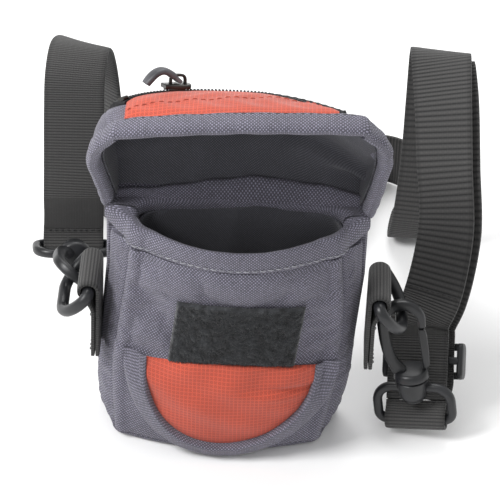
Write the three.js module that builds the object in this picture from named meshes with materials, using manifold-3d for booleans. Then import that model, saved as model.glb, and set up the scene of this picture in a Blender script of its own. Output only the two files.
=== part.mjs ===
// Small camera pouch with an open lid, on a webbing strap with two swivel snap hooks.
// Millimetres, +Z up, front towards -Y, origin at the centre of the base.
import * as THREE from 'three';
import { mergeVertices } from 'three/addons/utils/BufferGeometryUtils.js';
import Module from 'manifold-3d';

const wasm = await Module();
wasm.setup();

// Cloth
const gap = 0.3;
const fabric = 2.8;
const lining = 1.0;
const tapePile = 1.5;

// Pouch body: half widths at the front and rear corners, bow of the front, place of the rear face
const baseFrontHalf = 35.5;
const bellyFrontHalf = 39.5;
const rimFrontHalf = 35.5;
const baseRearHalf = 42.5;
const bellyRearHalf = 44.5;
const rimRearHalf = 43.5;
const frontCornerY = -8;
const baseBow = 4.5;
const bellyBow = 7;
const rimBow = 11;
const baseRearY = 14;
const bellyRearY = 17;
const rimRearY = 8.7;
const bellyHeight = 35;
const cornerRadius = 6.5;
const baseEdgeRadius = 4;
const baseThickness = 3;
const seamBehindCorner = 4;

// Mouth of the body
const frontHeight = 89.5;
const rearHeight = 92.7;
const frontHemDepth = 8.5;
const rearHemDepth = 6.5;
const hemProud = 0.5;
const liningBelowFront = 5;
const liningBelowRear = 4;

// Front pocket and loop tape
const pocketHalf = 30;
const pocketDrop = 33;
const pocketTop = 42.5;
const pocketRimWidth = 8;
const pocketRimHeight = 4.5;
const pocketCloth = 1.3;
const pocketUnderRim = 2;
const pocketSteps = 20;
const pocketRimSteps = 26;
const pocketRimFlatten = 0.8;
const tapeHalf = 21.5;
const tapeHeight = 24;
const tapeAbovePocket = 0.8;

// Belt loop on the rear panel
const beltHalf = 19;
const beltBottom = 14;
const beltHeight = 46;
const beltClear = 5.5;
const beltThickness = 2;
const beltSewn = 7;
const beltEase = 2;
const beltCorner = 4.2;

// Lid, modelled closed about its rear seam and then thrown open
const lidOpenDegrees = 115;
const lidFabric = 2.4;
const lidDepth = 37;
const lidFoldRadius = 6;
const lidFlapStraight = 34;
const lidHemRadius = 7.4;
const lidHemDegrees = 68;
const lidHemProud = 0.5;
const lidHingeHalf = 45.3;
const lidFoldHalf = 45.5;
const lidHemHalf = 43.5;
const lidSideBulge = 3;
const lidSideFabric = 2.6;
const lidSeam = 0.1;
const lidSideReach = 0.97;
const lidSideElbow = 0.5;
const lidSideDrop = 0.6;
const lidSideSteps = 12;
const lidSheetSteps = 8;
const lidLiningSteps = 16;
const lidLiningStart = 7;
const lidLiningInset = 1;
const hingeBehindRim = 0.6;
const hingeAboveRim = 0.5;

// Zipped pocket on the flap: the zip follows an arc about a point near the hem
const zipRadius = 47;
const zipCentreX = -3;
const zipCentreAboveHem = -16;
const zipStartDegrees = -50;
const zipEndDegrees = 47;
const zipTapeInside = 1.7;
const zipTapeOutside = 4.5;
const zipTapeThickness = 0.8;
const zipChainHalf = 1.5;
const zipChainThickness = 1.2;
const zipStopLength = 2.4;
const zipPanelCloth = 1.2;
const zipPanelSide = 4;
const sliderDegrees = -23;
const sliderLength = 10;
const sliderFrontHalf = 3.9;
const sliderRearHalf = 2.4;
const sliderThickness = 1.5;
const sliderFlange = 0.8;
const bridgeLength = 6;
const bridgeHeight = 3.2;
const bridgeWidth = 1.6;
const bridgeWall = 1.1;
const pullWidth = 5;
const pullThickness = 1.5;
const pullReach = 11;
const pullRise = 3.4;
const pullCrown = 0.82;
const pullSag = 0.9;
const pullStart = 0.16;
const pullCheek = 0.3;
const pullSteps = 14;
const sliderNose = 3;
const flangeWidth = 0.7;

// Webbing
const webbingWidth = 21;
const webbingThickness = 1.6;

// Side tabs and their D-rings
const tabWidth = 20;
const tabBottom = 26;
const tabLoopHeight = 59.5;
const tabY = 5.5;
const tabThickness = 1.5;
const ringRod = 2;
const ringBoreClear = 0.4;
const ringCorner = 2.5;
const ringDrop = 14;
const ringTipHalf = 4.5;
const ringSteps = 36;
const rodSides = 8;
const rightRingDegrees = 35;
const leftRingDegrees = 40;

// Snap hooks: sizes along the hook are from the middle of its flange
const crookRadius = 6.6;
const crookCentreAcross = -1.4;
const crookCentreUp = 20.6;
const crookHalf = 1.9;
const noseHalf = 1.3;
const noseLength = 2.2;
const spineFootAcross = -3.6;
const hookThickness = 3.6;
const hookBevel = 0.6;
const gateWidth = 2.4;
const gateAcross = 5.4;
const gateThickness = 3;
const flangeRadius = 6.2;
const flangeHalfHeight = 1.6;
const barrelTopRadius = 5.8;
const barrelFootRadius = 4.6;
const barrelLength = 7.5;
const stemRadius = 1.9;
const stemClear = 0.4;
const headRadius = 3.3;
const headThickness = 1.5;
const loopRod = 1.65;
const loopHalf = 12.9;
const loopCorner = 5.8;
const loopFootCorner = 3.2;
const barBelowFlange = 19;
const loopHeight = 13.2;
const loopSteps = 40;
const rightHookSlack = 0.45;
const leftHookSlack = 1.1;

// Sewn webbing loops at the hooks, and the adjuster on the right
const sewnTail = 6.5;
const sewnTaper = 5.5;
const sewnHoleEnd = 4.3;
const adjusterAlong = 20.5;
const adjusterLength = 12.5;
const adjusterBarLength = 2.6;
const adjusterRail = 2.5;
const adjusterBar = 2.2;
const adjusterClear = 0.4;
const returnShift = 1.2;
const adjusterSideClear = 1.3;
const returnRise = 3.2;
const returnSettle = 5.3;
const returnRouteShare = 0.8;
const returnRoutePoints = 6;
const returnSteps = 66;

// Coil of the middle of the strap: two arms wound together, standing on edge
const coilCentreX = -4;
const coilCentreY = 104;
const coilInnerRadius = 10;
const coilOuterRadius = 34;
const coilPitch = 9;
const coilLeadIn = 8;
const coilLift = 0.2;

// Free straps: the straight stretch past the sewn end or adjuster, and rings along each
const strapStraight = 6;
const straightEase = 4;
const rightSteps = 72;
const leftSteps = 56;

const colours = {
  grey: 0x6f6f80, orange: 0xd0603f, black: 0x17171a, plastic: 0x202124, lining: 0x101012, metal: 0x2c2c30,
  pull: 0x77777c,
};

const radians = THREE.MathUtils.degToRad;
const vec = (x, y, z) => new THREE.Vector3(x, y, z);

// Solids

// The volume inside a mesh, negative where its faces point inwards.
function signedVolume(positions, indices) {
  const corners = [vec(), vec(), vec()];
  let volume = 0;
  for (let i = 0; i < indices.length; i += 3) {
    corners.forEach((corner, k) => corner.fromArray(positions, 3 * indices[i + k]));
    volume += corners[0].dot(corners[1].cross(corners[2])) / 6;
  }
  return volume;
}

function closedGeometry(points, indices) {
  const positions = points.flatMap((point) => [point.x, point.y, point.z]);
  if (signedVolume(positions, indices) < 0) {
    indices.reverse();
  }
  const geometry = new THREE.BufferGeometry();
  geometry.setAttribute('position', new THREE.Float32BufferAttribute(positions, 3));
  geometry.setIndex(indices);
  geometry.computeVertexNormals();
  return geometry;
}

// A body through rings of equal point counts, capped at both ends or joined end to end.
function loft(rings, endless = false) {
  const count = rings[0].length;
  const points = rings.flat();
  const indices = [];
  const spans = endless ? rings.length : rings.length - 1;
  for (let i = 0; i < spans; i += 1) {
    const next = (i + 1) % rings.length;
    for (let j = 0; j < count; j += 1) {
      const k = (j + 1) % count;
      const [a, b, c, d] = [i * count + j, i * count + k, next * count + k, next * count + j];
      indices.push(a, b, c, a, c, d);
    }
  }
  if (!endless) {
    [[0, 1], [rings.length - 1, -1]].forEach(([ring, sense]) => {
      const middle = points.length;
      const sum = rings[ring].reduce((total, point) => total.add(point), vec(0, 0, 0));
      points.push(sum.divideScalar(count));
      for (let j = 0; j < count; j += 1) {
        const a = ring * count + j;
        const b = ring * count + ((j + 1) % count);
        indices.push(...(sense > 0 ? [middle, b, a] : [middle, a, b]));
      }
    });
  }
  return closedGeometry(points, indices);
}

// A sheet between two surfaces over the same unit square.
function slab(outer, inner, across, along) {
  const rings = [];
  for (let i = 0; i <= across; i += 1) {
    const ring = [];
    for (let j = 0; j <= along; j += 1) {
      ring.push(outer(i / across, j / along));
    }
    for (let j = along; j >= 0; j -= 1) {
      ring.push(inner(i / across, j / along));
    }
    rings.push(ring);
  }
  const count = rings[0].length;
  const points = rings.flat();
  const indices = [];
  for (let i = 0; i < across; i += 1) {
    for (let j = 0; j < count; j += 1) {
      const k = (j + 1) % count;
      const [a, b, c, d] = [i * count + j, i * count + k, (i + 1) * count + k, (i + 1) * count + j];
      indices.push(a, b, c, a, c, d);
    }
  }
  [[0, 1], [across, -1]].forEach(([ring, sense]) => {
    for (let j = 0; j < along; j += 1) {
      const a = ring * count + j;
      const opposite = ring * count + (count - 1 - j);
      const [b, d] = [a + 1, opposite - 1];
      indices.push(...(sense > 0 ? [a, d, b, a, opposite, d] : [a, b, d, a, d, opposite]));
    }
  });
  return closedGeometry(points, indices);
}

function toSolid(geometry) {
  const bare = geometry.clone();
  bare.deleteAttribute('normal');
  bare.deleteAttribute('uv');
  const merged = mergeVertices(bare, 1e-4);
  const vertProperties = new Float32Array(merged.attributes.position.array);
  const triVerts = new Uint32Array(merged.index.array);
  return new wasm.Manifold(new wasm.Mesh({ numProp: 3, vertProperties, triVerts }));
}

function fromSolid(solid) {
  const mesh = solid.getMesh();
  const geometry = new THREE.BufferGeometry();
  geometry.setAttribute('position', new THREE.BufferAttribute(new Float32Array(mesh.vertProperties), 3));
  geometry.setIndex(new THREE.BufferAttribute(new Uint32Array(mesh.triVerts), 1));
  geometry.computeVertexNormals();
  return geometry;
}

const cut = (body, ...tools) => fromSolid(tools.reduce((left, tool) => left.subtract(toSolid(tool)), toSolid(body)));
const fuse = (body, ...more) => fromSolid(more.reduce((all, one) => all.add(toSolid(one)), toSolid(body)));
const common = (body, ...more) => fromSolid(more.reduce((all, one) => all.intersect(toSolid(one)), toSolid(body)));

function box(minX, maxX, minY, maxY, minZ, maxZ) {
  const geometry = new THREE.BoxGeometry(maxX - minX, maxY - minY, maxZ - minZ);
  return geometry.translate((minX + maxX) / 2, (minY + maxY) / 2, (minZ + maxZ) / 2);
}

// An outline in the side view, given as (y, z) points, run across the pouch from one x to another.
function sidePrism(outline, fromX, toX) {
  const shape = new THREE.Shape(outline.map(([y, z]) => new THREE.Vector2(y, z)));
  const geometry = new THREE.ExtrudeGeometry(shape, { depth: toX - fromX, bevelEnabled: false });
  const matrix = new THREE.Matrix4().makeBasis(vec(0, 1, 0), vec(0, 0, 1), vec(1, 0, 0));
  geometry.applyMatrix4(matrix);
  return geometry.translate(fromX, 0, 0);
}

// A round rod along points of the XY plane, closed on itself or with flat ends.
function rod(points, radius, sides, endless) {
  const rings = points.map((point, i) => {
    const before = points[endless ? (i + points.length - 1) % points.length : Math.max(i - 1, 0)];
    const after = points[endless ? (i + 1) % points.length : Math.min(i + 1, points.length - 1)];
    const along = after.clone().sub(before).normalize();
    const side = new THREE.Vector2(-along.y, along.x);
    return Array.from({ length: sides }, (_, k) => {
      const angle = (2 * Math.PI * (k + 0.5)) / sides;
      const reach = radius * Math.cos(angle);
      return vec(point.x + side.x * reach, point.y + side.y * reach, radius * Math.sin(angle));
    });
  });
  return loft(rings, endless);
}

function addMesh(parent, name, geometry, colour, roughness = 0.9, metalness = 0) {
  const material = new THREE.MeshStandardMaterial({ color: colour, roughness, metalness });
  const mesh = new THREE.Mesh(geometry, material);
  mesh.name = name;
  parent.add(mesh);
  return mesh;
}

const pouch = new THREE.Group();

// Body shell

// A size that grows from the base to the belly and draws in again towards the rim.
function bodyProfile(z, base, belly, rim) {
  if (z < bellyHeight) {
    return base + (belly - base) * Math.sin((Math.PI / 2) * (z / bellyHeight));
  }
  const rise = (z - bellyHeight) / (rearHeight - bellyHeight);
  return belly + (rim - belly) * (1 - Math.cos((Math.PI / 2) * rise));
}

const frontHalfAt = (z) => bodyProfile(z, baseFrontHalf, bellyFrontHalf, rimFrontHalf);
const rearHalfAt = (z) => bodyProfile(z, baseRearHalf, bellyRearHalf, rimRearHalf);
const rearYAt = (z) => bodyProfile(z, baseRearY, bellyRearY, rimRearY);
const bowAt = (z) => bodyProfile(z, baseBow, bellyBow, rimBow);

// The front face at a height, seen from above, moved outwards by some offset.
function frontY(x, z, outwards = 0) {
  const reach = x / (frontHalfAt(z) - cornerRadius);
  return frontCornerY - bowAt(z) * Math.max(0, 1 - reach * reach) - outwards;
}

// The closed outline of the body at a height, drawn in by an inset.
function bodyOutline(z, inset) {
  const rounding = z < baseEdgeRadius ? baseEdgeRadius - Math.sqrt(z * (2 * baseEdgeRadius - z)) : 0;
  const outwards = -inset - (inset > 0 ? 0 : rounding);
  const radius = cornerRadius + Math.max(outwards, 2 - cornerRadius);
  const front = frontHalfAt(z) + outwards;
  const rear = rearHalfAt(z) + outwards;
  const frontLine = frontCornerY - outwards;
  const rearLine = rearYAt(z) + outwards;
  const points = [];
  const arc = (x, y, from, to) => {
    for (let i = 0; i <= 4; i += 1) {
      const angle = radians(from + ((to - from) * i) / 4);
      points.push(vec(x + radius * Math.cos(angle), y + radius * Math.sin(angle), z));
    }
  };
  arc(rear - radius, rearLine - radius, 90, 0);
  arc(front - radius, frontLine + radius, 0, -90);
  const bowSteps = 8;
  for (let i = 1; i < bowSteps; i += 1) {
    const reach = 1 - (2 * i) / bowSteps;
    points.push(vec(reach * (front - radius), frontLine - bowAt(z) * (1 - reach * reach), z));
  }
  arc(radius - front, frontLine + radius, -90, -180);
  arc(radius - rear, rearLine - radius, 180, 90);
  return points;
}

const wallLevels = [12, 23, 35, 48, 60, 71, 80];

function bodyLoft(inset, bottom, top) {
  const rounded = [0, 0.5, 1.5, baseEdgeRadius].filter((z) => inset <= 0 && z > bottom);
  const levels = [bottom, ...rounded, ...wallLevels.filter((z) => z > bottom + 2 && z < top - 2), top];
  return loft(levels.map((z) => bodyOutline(z, inset)));
}

const farOut = 200;
const seamLevels = [-5, 0, 12, 23, 35, 48, 60, 71, 80, rearHeight + 5];

// Everything ahead of the rear corner seam, or behind it.
function besideRearSeam(ahead, shift) {
  const seamY = (z) => rearYAt(Math.min(Math.max(z, 0), rearHeight)) - cornerRadius + shift;
  const line = seamLevels.map((z) => [seamY(z), z]);
  const far = ahead ? -farOut : farOut;
  const outline = [[far, seamLevels[0]], ...line, [far, seamLevels[seamLevels.length - 1]]];
  return sidePrism(outline, -farOut, farOut);
}

const frontSeamY = frontCornerY + seamBehindCorner;
const wallFoot = baseThickness + gap;
const frontHemFoot = frontHeight - frontHemDepth;
const rearHemFoot = rearHeight - rearHemDepth;

const wall = cut(bodyLoft(0, 0, rearHeight), bodyLoft(fabric, baseThickness, rearHeight + 1));
const hem = cut(bodyLoft(-hemProud, frontHemFoot, rearHeight), bodyLoft(fabric, frontHemFoot - 1, rearHeight + 1));
const aheadOfRearSeam = besideRearSeam(true, 0);
const behindRearSeam = besideRearSeam(false, gap);

function buildBody() {
  const frontWall = box(-farOut, farOut, -farOut, frontSeamY, wallFoot, frontHemFoot - gap);
  const sideWall = (from, to) => box(from, to, frontSeamY + gap, farOut, wallFoot, frontHemFoot - gap);
  const rearWall = box(-farOut, farOut, -farOut, farOut, wallFoot, rearHemFoot - gap);
  const base = box(-farOut, farOut, -farOut, farOut, -1, baseThickness);
  addMesh(pouch, 'front_panel', common(wall, frontWall), colours.grey);
  addMesh(pouch, 'left_gusset', common(wall, sideWall(-farOut, 0), aheadOfRearSeam), colours.grey);
  addMesh(pouch, 'right_gusset', common(wall, sideWall(0, farOut), aheadOfRearSeam), colours.grey);
  addMesh(pouch, 'rear_panel', common(wall, rearWall, behindRearSeam), colours.grey);
  addMesh(pouch, 'base_panel', common(wall, base), colours.grey);

  const frontHemBand = box(-farOut, farOut, -farOut, farOut, frontHemFoot, frontHeight);
  const rearHemBand = box(-farOut, farOut, -farOut, farOut, rearHemFoot, rearHeight);
  addMesh(pouch, 'front_hem', common(hem, frontHemBand, aheadOfRearSeam), colours.grey);
  addMesh(pouch, 'rear_hem', common(hem, rearHemBand, behindRearSeam), colours.grey);

  const liningInset = fabric + gap;
  const cup = cut(
    bodyLoft(liningInset, baseThickness + gap, rearHeight),
    bodyLoft(liningInset + lining, baseThickness + gap + lining, rearHeight + 1),
  );
  const front = frontCornerY - rimBow;
  const sloped = [
    [front, -1], [rimRearY, -1], [farOut, -1], [farOut, rearHeight - liningBelowRear],
    [rimRearY, rearHeight - liningBelowRear], [front, frontHeight - liningBelowFront],
  ];
  addMesh(pouch, 'body_lining', common(cup, sidePrism(sloped, -farOut, farOut)), colours.lining, 0.95);
}

// Front pocket, loop tape and belt loop

// A point of the front face at a polar place about the middle of the pocket's mouth.
function pocketPoint(turn, half, drop, outwards) {
  const angle = Math.PI * turn;
  const x = -half * Math.cos(angle);
  const z = pocketTop - drop * Math.sin(angle);
  return vec(x, frontY(x, z, outwards), z);
}

function buildFront() {
  const rimBack = pocketCloth + 2 * gap;
  const panelHalf = pocketHalf + pocketUnderRim;
  const panelDrop = pocketDrop + pocketUnderRim;
  const panelPoint = (u, v, outwards) => {
    const x = (2 * u - 1) * panelHalf;
    const depth = panelDrop * Math.sqrt(Math.max(0.02, 1 - (x / panelHalf) ** 2));
    const z = pocketTop - depth * v;
    return vec(x, frontY(x, z, outwards), z);
  };
  const panel = slab((u, v) => panelPoint(u, v, pocketCloth + gap), (u, v) => panelPoint(u, v, gap), pocketSteps, 6);
  addMesh(pouch, 'pocket_panel', panel, colours.orange, 0.8);

  const rimPoint = (turn, v, outwards) => {
    const width = pocketRimWidth * v;
    return pocketPoint(turn, pocketHalf + width, pocketDrop + width * pocketRimFlatten, outwards);
  };
  const rounding = (v) => pocketRimHeight * Math.sqrt(Math.max(0.06, 1 - (2 * v - 1) ** 2));
  const rim = slab(
    (u, v) => rimPoint(u, v, rimBack + rounding(v)),
    (u, v) => rimPoint(u, v, rimBack),
    pocketRimSteps, 5,
  );
  addMesh(pouch, 'pocket_rim', rim, colours.grey);

  const tapeFoot = pocketTop + tapeAbovePocket;
  const tapePoint = (u, v, outwards) => {
    const x = (2 * u - 1) * tapeHalf;
    const z = tapeFoot + tapeHeight * v;
    return vec(x, frontY(x, z, outwards), z);
  };
  const tape = slab((u, v) => tapePoint(u, v, gap + tapePile), (u, v) => tapePoint(u, v, gap), 8, 3);
  addMesh(pouch, 'loop_tape', tape, colours.black, 1);
}

function buildBeltLoop() {
  const top = beltBottom + beltHeight;
  const faceAt = (z) => rearYAt(z) + gap;
  const out = bellyRearY + beltClear;
  const outline = [
    [faceAt(beltBottom), beltBottom], [out + beltThickness, beltBottom + beltCorner],
    [out + beltThickness, top - beltCorner], [faceAt(top), top], [faceAt(top - beltSewn / 2), top - beltSewn / 2],
    [faceAt(top - beltSewn), top - beltSewn], [out, top - beltSewn - beltEase], [out, beltBottom + beltSewn + beltEase],
    [faceAt(beltBottom + beltSewn), beltBottom + beltSewn],
    [faceAt(beltBottom + beltSewn / 2), beltBottom + beltSewn / 2],
  ];
  addMesh(pouch, 'belt_loop', sidePrism(outline, -beltHalf, beltHalf), colours.grey);
}

// Lid

const lid = new THREE.Group();
lid.position.set(0, rimRearY + hingeBehindRim, rearHeight + hingeAboveRim);
lid.rotation.x = -radians(lidOpenDegrees);
pouch.add(lid);

const lidTopLength = lidDepth - lidFoldRadius;
const lidFoldLength = (lidFoldRadius * Math.PI) / 2;
const lidHemLength = lidHemRadius * radians(lidHemDegrees);
const flapStart = lidTopLength + lidFoldLength;
const hemStart = flapStart + lidFlapStraight;
const lidLength = hemStart + lidHemLength;
const hemLineZ = lidFabric - lidFoldRadius - lidFlapStraight;

// A point of the closed lid's side view, at a run along its outer face and a depth below that face.
function lidPoint(x, run, depth) {
  if (run <= lidTopLength) {
    return vec(x, -run, lidFabric - depth);
  }
  if (run <= flapStart) {
    const angle = (run - lidTopLength) / lidFoldRadius;
    const radius = lidFoldRadius - depth;
    return vec(x, -lidTopLength - radius * Math.sin(angle), lidFabric - lidFoldRadius + radius * Math.cos(angle));
  }
  if (run <= hemStart) {
    return vec(x, depth - lidDepth, lidFabric - lidFoldRadius - (run - flapStart));
  }
  const angle = (run - hemStart) / lidHemRadius;
  const radius = lidHemRadius - depth;
  return vec(x, lidHemRadius - lidDepth - radius * Math.cos(angle), hemLineZ - radius * Math.sin(angle));
}

// Half width of the lid along its run, from the rear seam over the fold to the hem.
function lidHalfAt(run) {
  if (run < flapStart) {
    return THREE.MathUtils.lerp(lidHingeHalf, lidFoldHalf, run / flapStart);
  }
  return THREE.MathUtils.lerp(lidFoldHalf, lidHemHalf, (run - flapStart) / (lidLength - flapStart));
}

function lidSheet(fromRun, toRun, fromDepth, toDepth, sideInset, steps) {
  const point = (u, v, depth) => {
    const run = fromRun + (toRun - fromRun) * u;
    return lidPoint((2 * v - 1) * (lidHalfAt(run) - sideInset), run, depth);
  };
  return slab((u, v) => point(u, v, fromDepth), (u, v) => point(u, v, toDepth), steps, 4);
}

// Half width where a side meets the top or the flap, at a place of the closed lid's side view.
function sideHalfAt(y, z) {
  const turned = Math.asin(THREE.MathUtils.clamp((-y - lidTopLength) / lidFoldRadius, 0, 1));
  const run = Math.min(-y, lidTopLength) + lidFoldRadius * turned;
  const down = THREE.MathUtils.clamp((lidFabric - lidFoldRadius - z) / (lidLength - flapStart), 0, 1);
  return lidHalfAt(Math.min(run, flapStart)) + (lidHemHalf - lidFoldHalf) * down;
}

// A side of the lid: a thin wedge from the rear seam's end to the hem's end, bulging outwards.
function lidSide(sense) {
  const cornerY = -lidDepth;
  const hemEnd = lidPoint(0, lidLength, 0);
  const point = (u, v, outwards) => {
    const free = vec(0, -lidLiningStart * (1 - u) + hemEnd.y * u, -lidFabric * (1 - u) + hemEnd.z * u);
    const drop = Math.max(0, u - lidSideElbow) / (1 - lidSideElbow);
    const fold = vec(0, cornerY * u, lidFabric - lidSideDrop * (lidFabric - hemEnd.z) * drop);
    const spot = free.lerp(fold, lidSideReach * v);
    const bulge = lidSideBulge * Math.sin(Math.PI * u) * (1 - v);
    spot.x = sense * (sideHalfAt(spot.y, spot.z) + lidSeam + bulge + outwards);
    return spot;
  };
  return slab((u, v) => point(u, v, lidSideFabric), (u, v) => point(u, v, 0), lidSideSteps, 3);
}

function buildLid() {
  const foldMiddle = lidTopLength + lidFoldLength / 2;
  addMesh(lid, 'lid_top', lidSheet(gap, foldMiddle - gap, 0, lidFabric, 0, lidSheetSteps), colours.grey);
  addMesh(lid, 'lid_flap', lidSheet(foldMiddle, hemStart - gap, 0, lidFabric, 0, lidSheetSteps), colours.grey);
  const hemSheet = lidSheet(hemStart, lidLength, -lidHemProud, lidFabric + lining + gap, 0, lidSheetSteps);
  addMesh(lid, 'lid_hem', hemSheet, colours.grey);
  const liningDepth = lidFabric + gap;
  const liningEnd = hemStart - gap;
  const liningSheet = lidSheet(
    lidLiningStart, liningEnd, liningDepth, liningDepth + lining, lidLiningInset, lidLiningSteps,
  );
  addMesh(lid, 'lid_lining', liningSheet, colours.lining, 0.95);
  addMesh(lid, 'lid_left_side', lidSide(-1), colours.grey);
  addMesh(lid, 'lid_right_side', lidSide(1), colours.grey);

  const tapeDepth = liningDepth + lining + gap;
  const tapeRun = hemStart - 2 * gap;
  const tapePoint = (u, v, depth) => lidPoint((2 * v - 1) * tapeHalf, tapeRun - tapeHeight * (1 - u), depth);
  const hookTape = slab((u, v) => tapePoint(u, v, tapeDepth), (u, v) => tapePoint(u, v, tapeDepth + tapePile), 1, 1);
  addMesh(lid, 'hook_tape', hookTape, colours.black, 1);
}

// Zipped pocket on the flap, drawn on the flap's outer face about the centre of the zip's arc

const zipPlane = new THREE.Group();
zipPlane.position.set(zipCentreX, -lidDepth, hemLineZ + zipCentreAboveHem);
lid.add(zipPlane);

// An outline in the flap's face, with x across and y up the flap, raised from a height above the face.
function flapPlate(shape, lift, thickness, curveSegments = 16) {
  const geometry = new THREE.ExtrudeGeometry(shape, { depth: thickness, bevelEnabled: false, curveSegments });
  return geometry.rotateX(Math.PI / 2).translate(0, -lift, 0);
}

// A band along the zip between two radii and two angles from the top of the arc.
function arcBand(inner, outer, fromDegrees, toDegrees) {
  const from = Math.PI / 2 - radians(fromDegrees);
  const to = Math.PI / 2 - radians(toDegrees);
  const shape = new THREE.Shape();
  shape.absarc(0, 0, outer, from, to, true);
  shape.absarc(0, 0, inner, to, from, false);
  return shape;
}

function buildZip() {
  const panelRadius = zipRadius - zipTapeInside - gap;
  const panelFoot = -zipCentreAboveHem + gap;
  const reach = lidHemHalf - zipPanelSide;
  const chord = Math.sqrt(panelRadius ** 2 - panelFoot ** 2) - gap;
  const left = Math.max(-reach - zipCentreX, -chord);
  const right = Math.min(reach - zipCentreX, chord);
  const panel = new THREE.Shape();
  panel.moveTo(left, panelFoot);
  panel.lineTo(right, panelFoot);
  const steps = 16;
  for (let i = 0; i <= steps; i += 1) {
    const x = right + ((left - right) * i) / steps;
    panel.lineTo(x, Math.sqrt(panelRadius ** 2 - x ** 2));
  }
  addMesh(zipPlane, 'lid_pocket_panel', flapPlate(panel, gap, zipPanelCloth), colours.orange, 0.8);

  const tape = arcBand(zipRadius - zipTapeInside, zipRadius + zipTapeOutside, zipStartDegrees, zipEndDegrees);
  addMesh(zipPlane, 'zip_tape', flapPlate(tape, gap, zipTapeThickness, 24), colours.black);

  const chainLift = 2 * gap + zipTapeThickness;
  const stopDegrees = THREE.MathUtils.radToDeg(zipStopLength / zipRadius);
  const gapDegrees = THREE.MathUtils.radToDeg(gap / zipRadius);
  const [chainStart, chainEnd] = [zipStartDegrees + stopDegrees, zipEndDegrees - stopDegrees];
  const [inner, outer] = [zipRadius - zipChainHalf, zipRadius + zipChainHalf];
  const chain = arcBand(inner, outer, chainStart, chainEnd);
  addMesh(zipPlane, 'zip_chain', flapPlate(chain, chainLift, zipChainThickness, 24), colours.metal, 0.6);
  const firstStop = arcBand(inner, outer, zipStartDegrees, chainStart - gapDegrees);
  const lastStop = arcBand(inner, outer, chainEnd + gapDegrees, zipEndDegrees);
  const stop = (shape) => flapPlate(shape, chainLift, zipChainThickness, 1);
  addMesh(zipPlane, 'zip_start_stop', stop(firstStop), colours.metal, 0.5, 0.4);
  addMesh(zipPlane, 'zip_end_stop', stop(lastStop), colours.metal, 0.5, 0.4);
  return chainLift + zipChainThickness + gap;
}

// The slider and its pull, in a frame on the zip with x along it, y away from the hem and z off the flap.
function buildSlider(seatLift) {
  const turn = new THREE.Group();
  turn.rotation.y = radians(sliderDegrees);
  zipPlane.add(turn);
  const seat = new THREE.Group();
  seat.position.set(0, -seatLift, zipRadius);
  seat.rotation.x = Math.PI / 2;
  turn.add(seat);

  const half = sliderLength / 2;
  const plateShape = new THREE.Shape();
  plateShape.moveTo(-half, -sliderRearHalf);
  plateShape.lineTo(half - sliderNose, -sliderFrontHalf);
  plateShape.quadraticCurveTo(half + 1, 0, half - sliderNose, sliderFrontHalf);
  plateShape.lineTo(-half, sliderRearHalf);
  const plate = new THREE.ExtrudeGeometry(plateShape, { depth: sliderThickness, bevelEnabled: false, curveSegments: 8 });
  const flangeAt = zipChainHalf + gap + 0.1;
  const flanges = [1, -1].map((side) => {
    const [a, b] = [side * flangeAt, side * (flangeAt + flangeWidth)].sort((p, q) => p - q);
    return box(1 - half, half - sliderNose - 0.5, a, b, -sliderFlange, sliderThickness / 3);
  });
  const bridgeTop = sliderThickness + bridgeHeight;
  const foot = sliderThickness / 3;
  const arch = box(-bridgeLength / 2, bridgeLength / 2, -bridgeWidth / 2, bridgeWidth / 2, foot, bridgeTop);
  const window = box(
    bridgeWall - bridgeLength / 2, bridgeLength / 2 - bridgeWall,
    -bridgeWidth, bridgeWidth, sliderThickness, bridgeTop - bridgeWall,
  );
  addMesh(seat, 'zip_slider', fuse(plate, ...flanges, cut(arch, window)), colours.metal, 0.35, 0.7);

  const pin = (bridgeHeight - bridgeWall) / 2 - gap;
  const pinUp = sliderThickness + (bridgeHeight - bridgeWall) / 2;
  const pull = new THREE.Group();
  pull.position.set(0, 0, pinUp);
  seat.add(pull);
  const centreline = (t) => {
    const rise = (pullRise + pinUp) * Math.sin(Math.PI * t * pullCrown);
    return [-pullReach * t, rise - pinUp * pullSag * t];
  };
  const bandPoint = (t, across, off) => {
    const [x, z] = centreline(t);
    const [xn, zn] = centreline(t + 0.01);
    const length = Math.hypot(xn - x, zn - z);
    return vec(x - ((zn - z) / length) * off, across, z + ((xn - x) / length) * off);
  };
  const halfWidth = pullWidth / 2;
  const band = slab(
    (u, v) => bandPoint(pullStart + (1 - pullStart) * u, halfWidth * (2 * v - 1), pullThickness / 2),
    (u, v) => bandPoint(pullStart + (1 - pullStart) * u, halfWidth * (2 * v - 1), -pullThickness / 2),
    pullSteps, 1,
  );
  const bar = new THREE.CylinderGeometry(pin, pin, pullWidth, 10);
  const cheeks = [1, -1].map((side) => {
    const [a, b] = [side * halfWidth, side * (bridgeWidth / 2 + gap)].sort((p, q) => p - q);
    return slab(
      (u, v) => bandPoint(pullCheek * u, a + (b - a) * v, pin),
      (u, v) => bandPoint(pullCheek * u, a + (b - a) * v, -pin),
      4, 1,
    );
  });
  const slot = box(-bridgeLength, bridgeLength, -bridgeWidth / 2 - gap, bridgeWidth / 2 + gap, pin + 0.05, bridgeTop);
  addMesh(pull, 'zip_pull', cut(fuse(bar, ...cheeks, band), slot), colours.pull, 0.6);
}

// Side tabs and D-rings

const ringBore = ringRod + ringBoreClear;
const tabLoopOut = ringBore + tabThickness;

// The loop's centre on one side: sense is 1 on the right and -1 on the left.
const tabSeatX = bellyRearHalf + gap;
const tabCentre = (sense) => vec(sense * (tabSeatX + tabLoopOut), tabY, tabLoopHeight);

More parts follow.
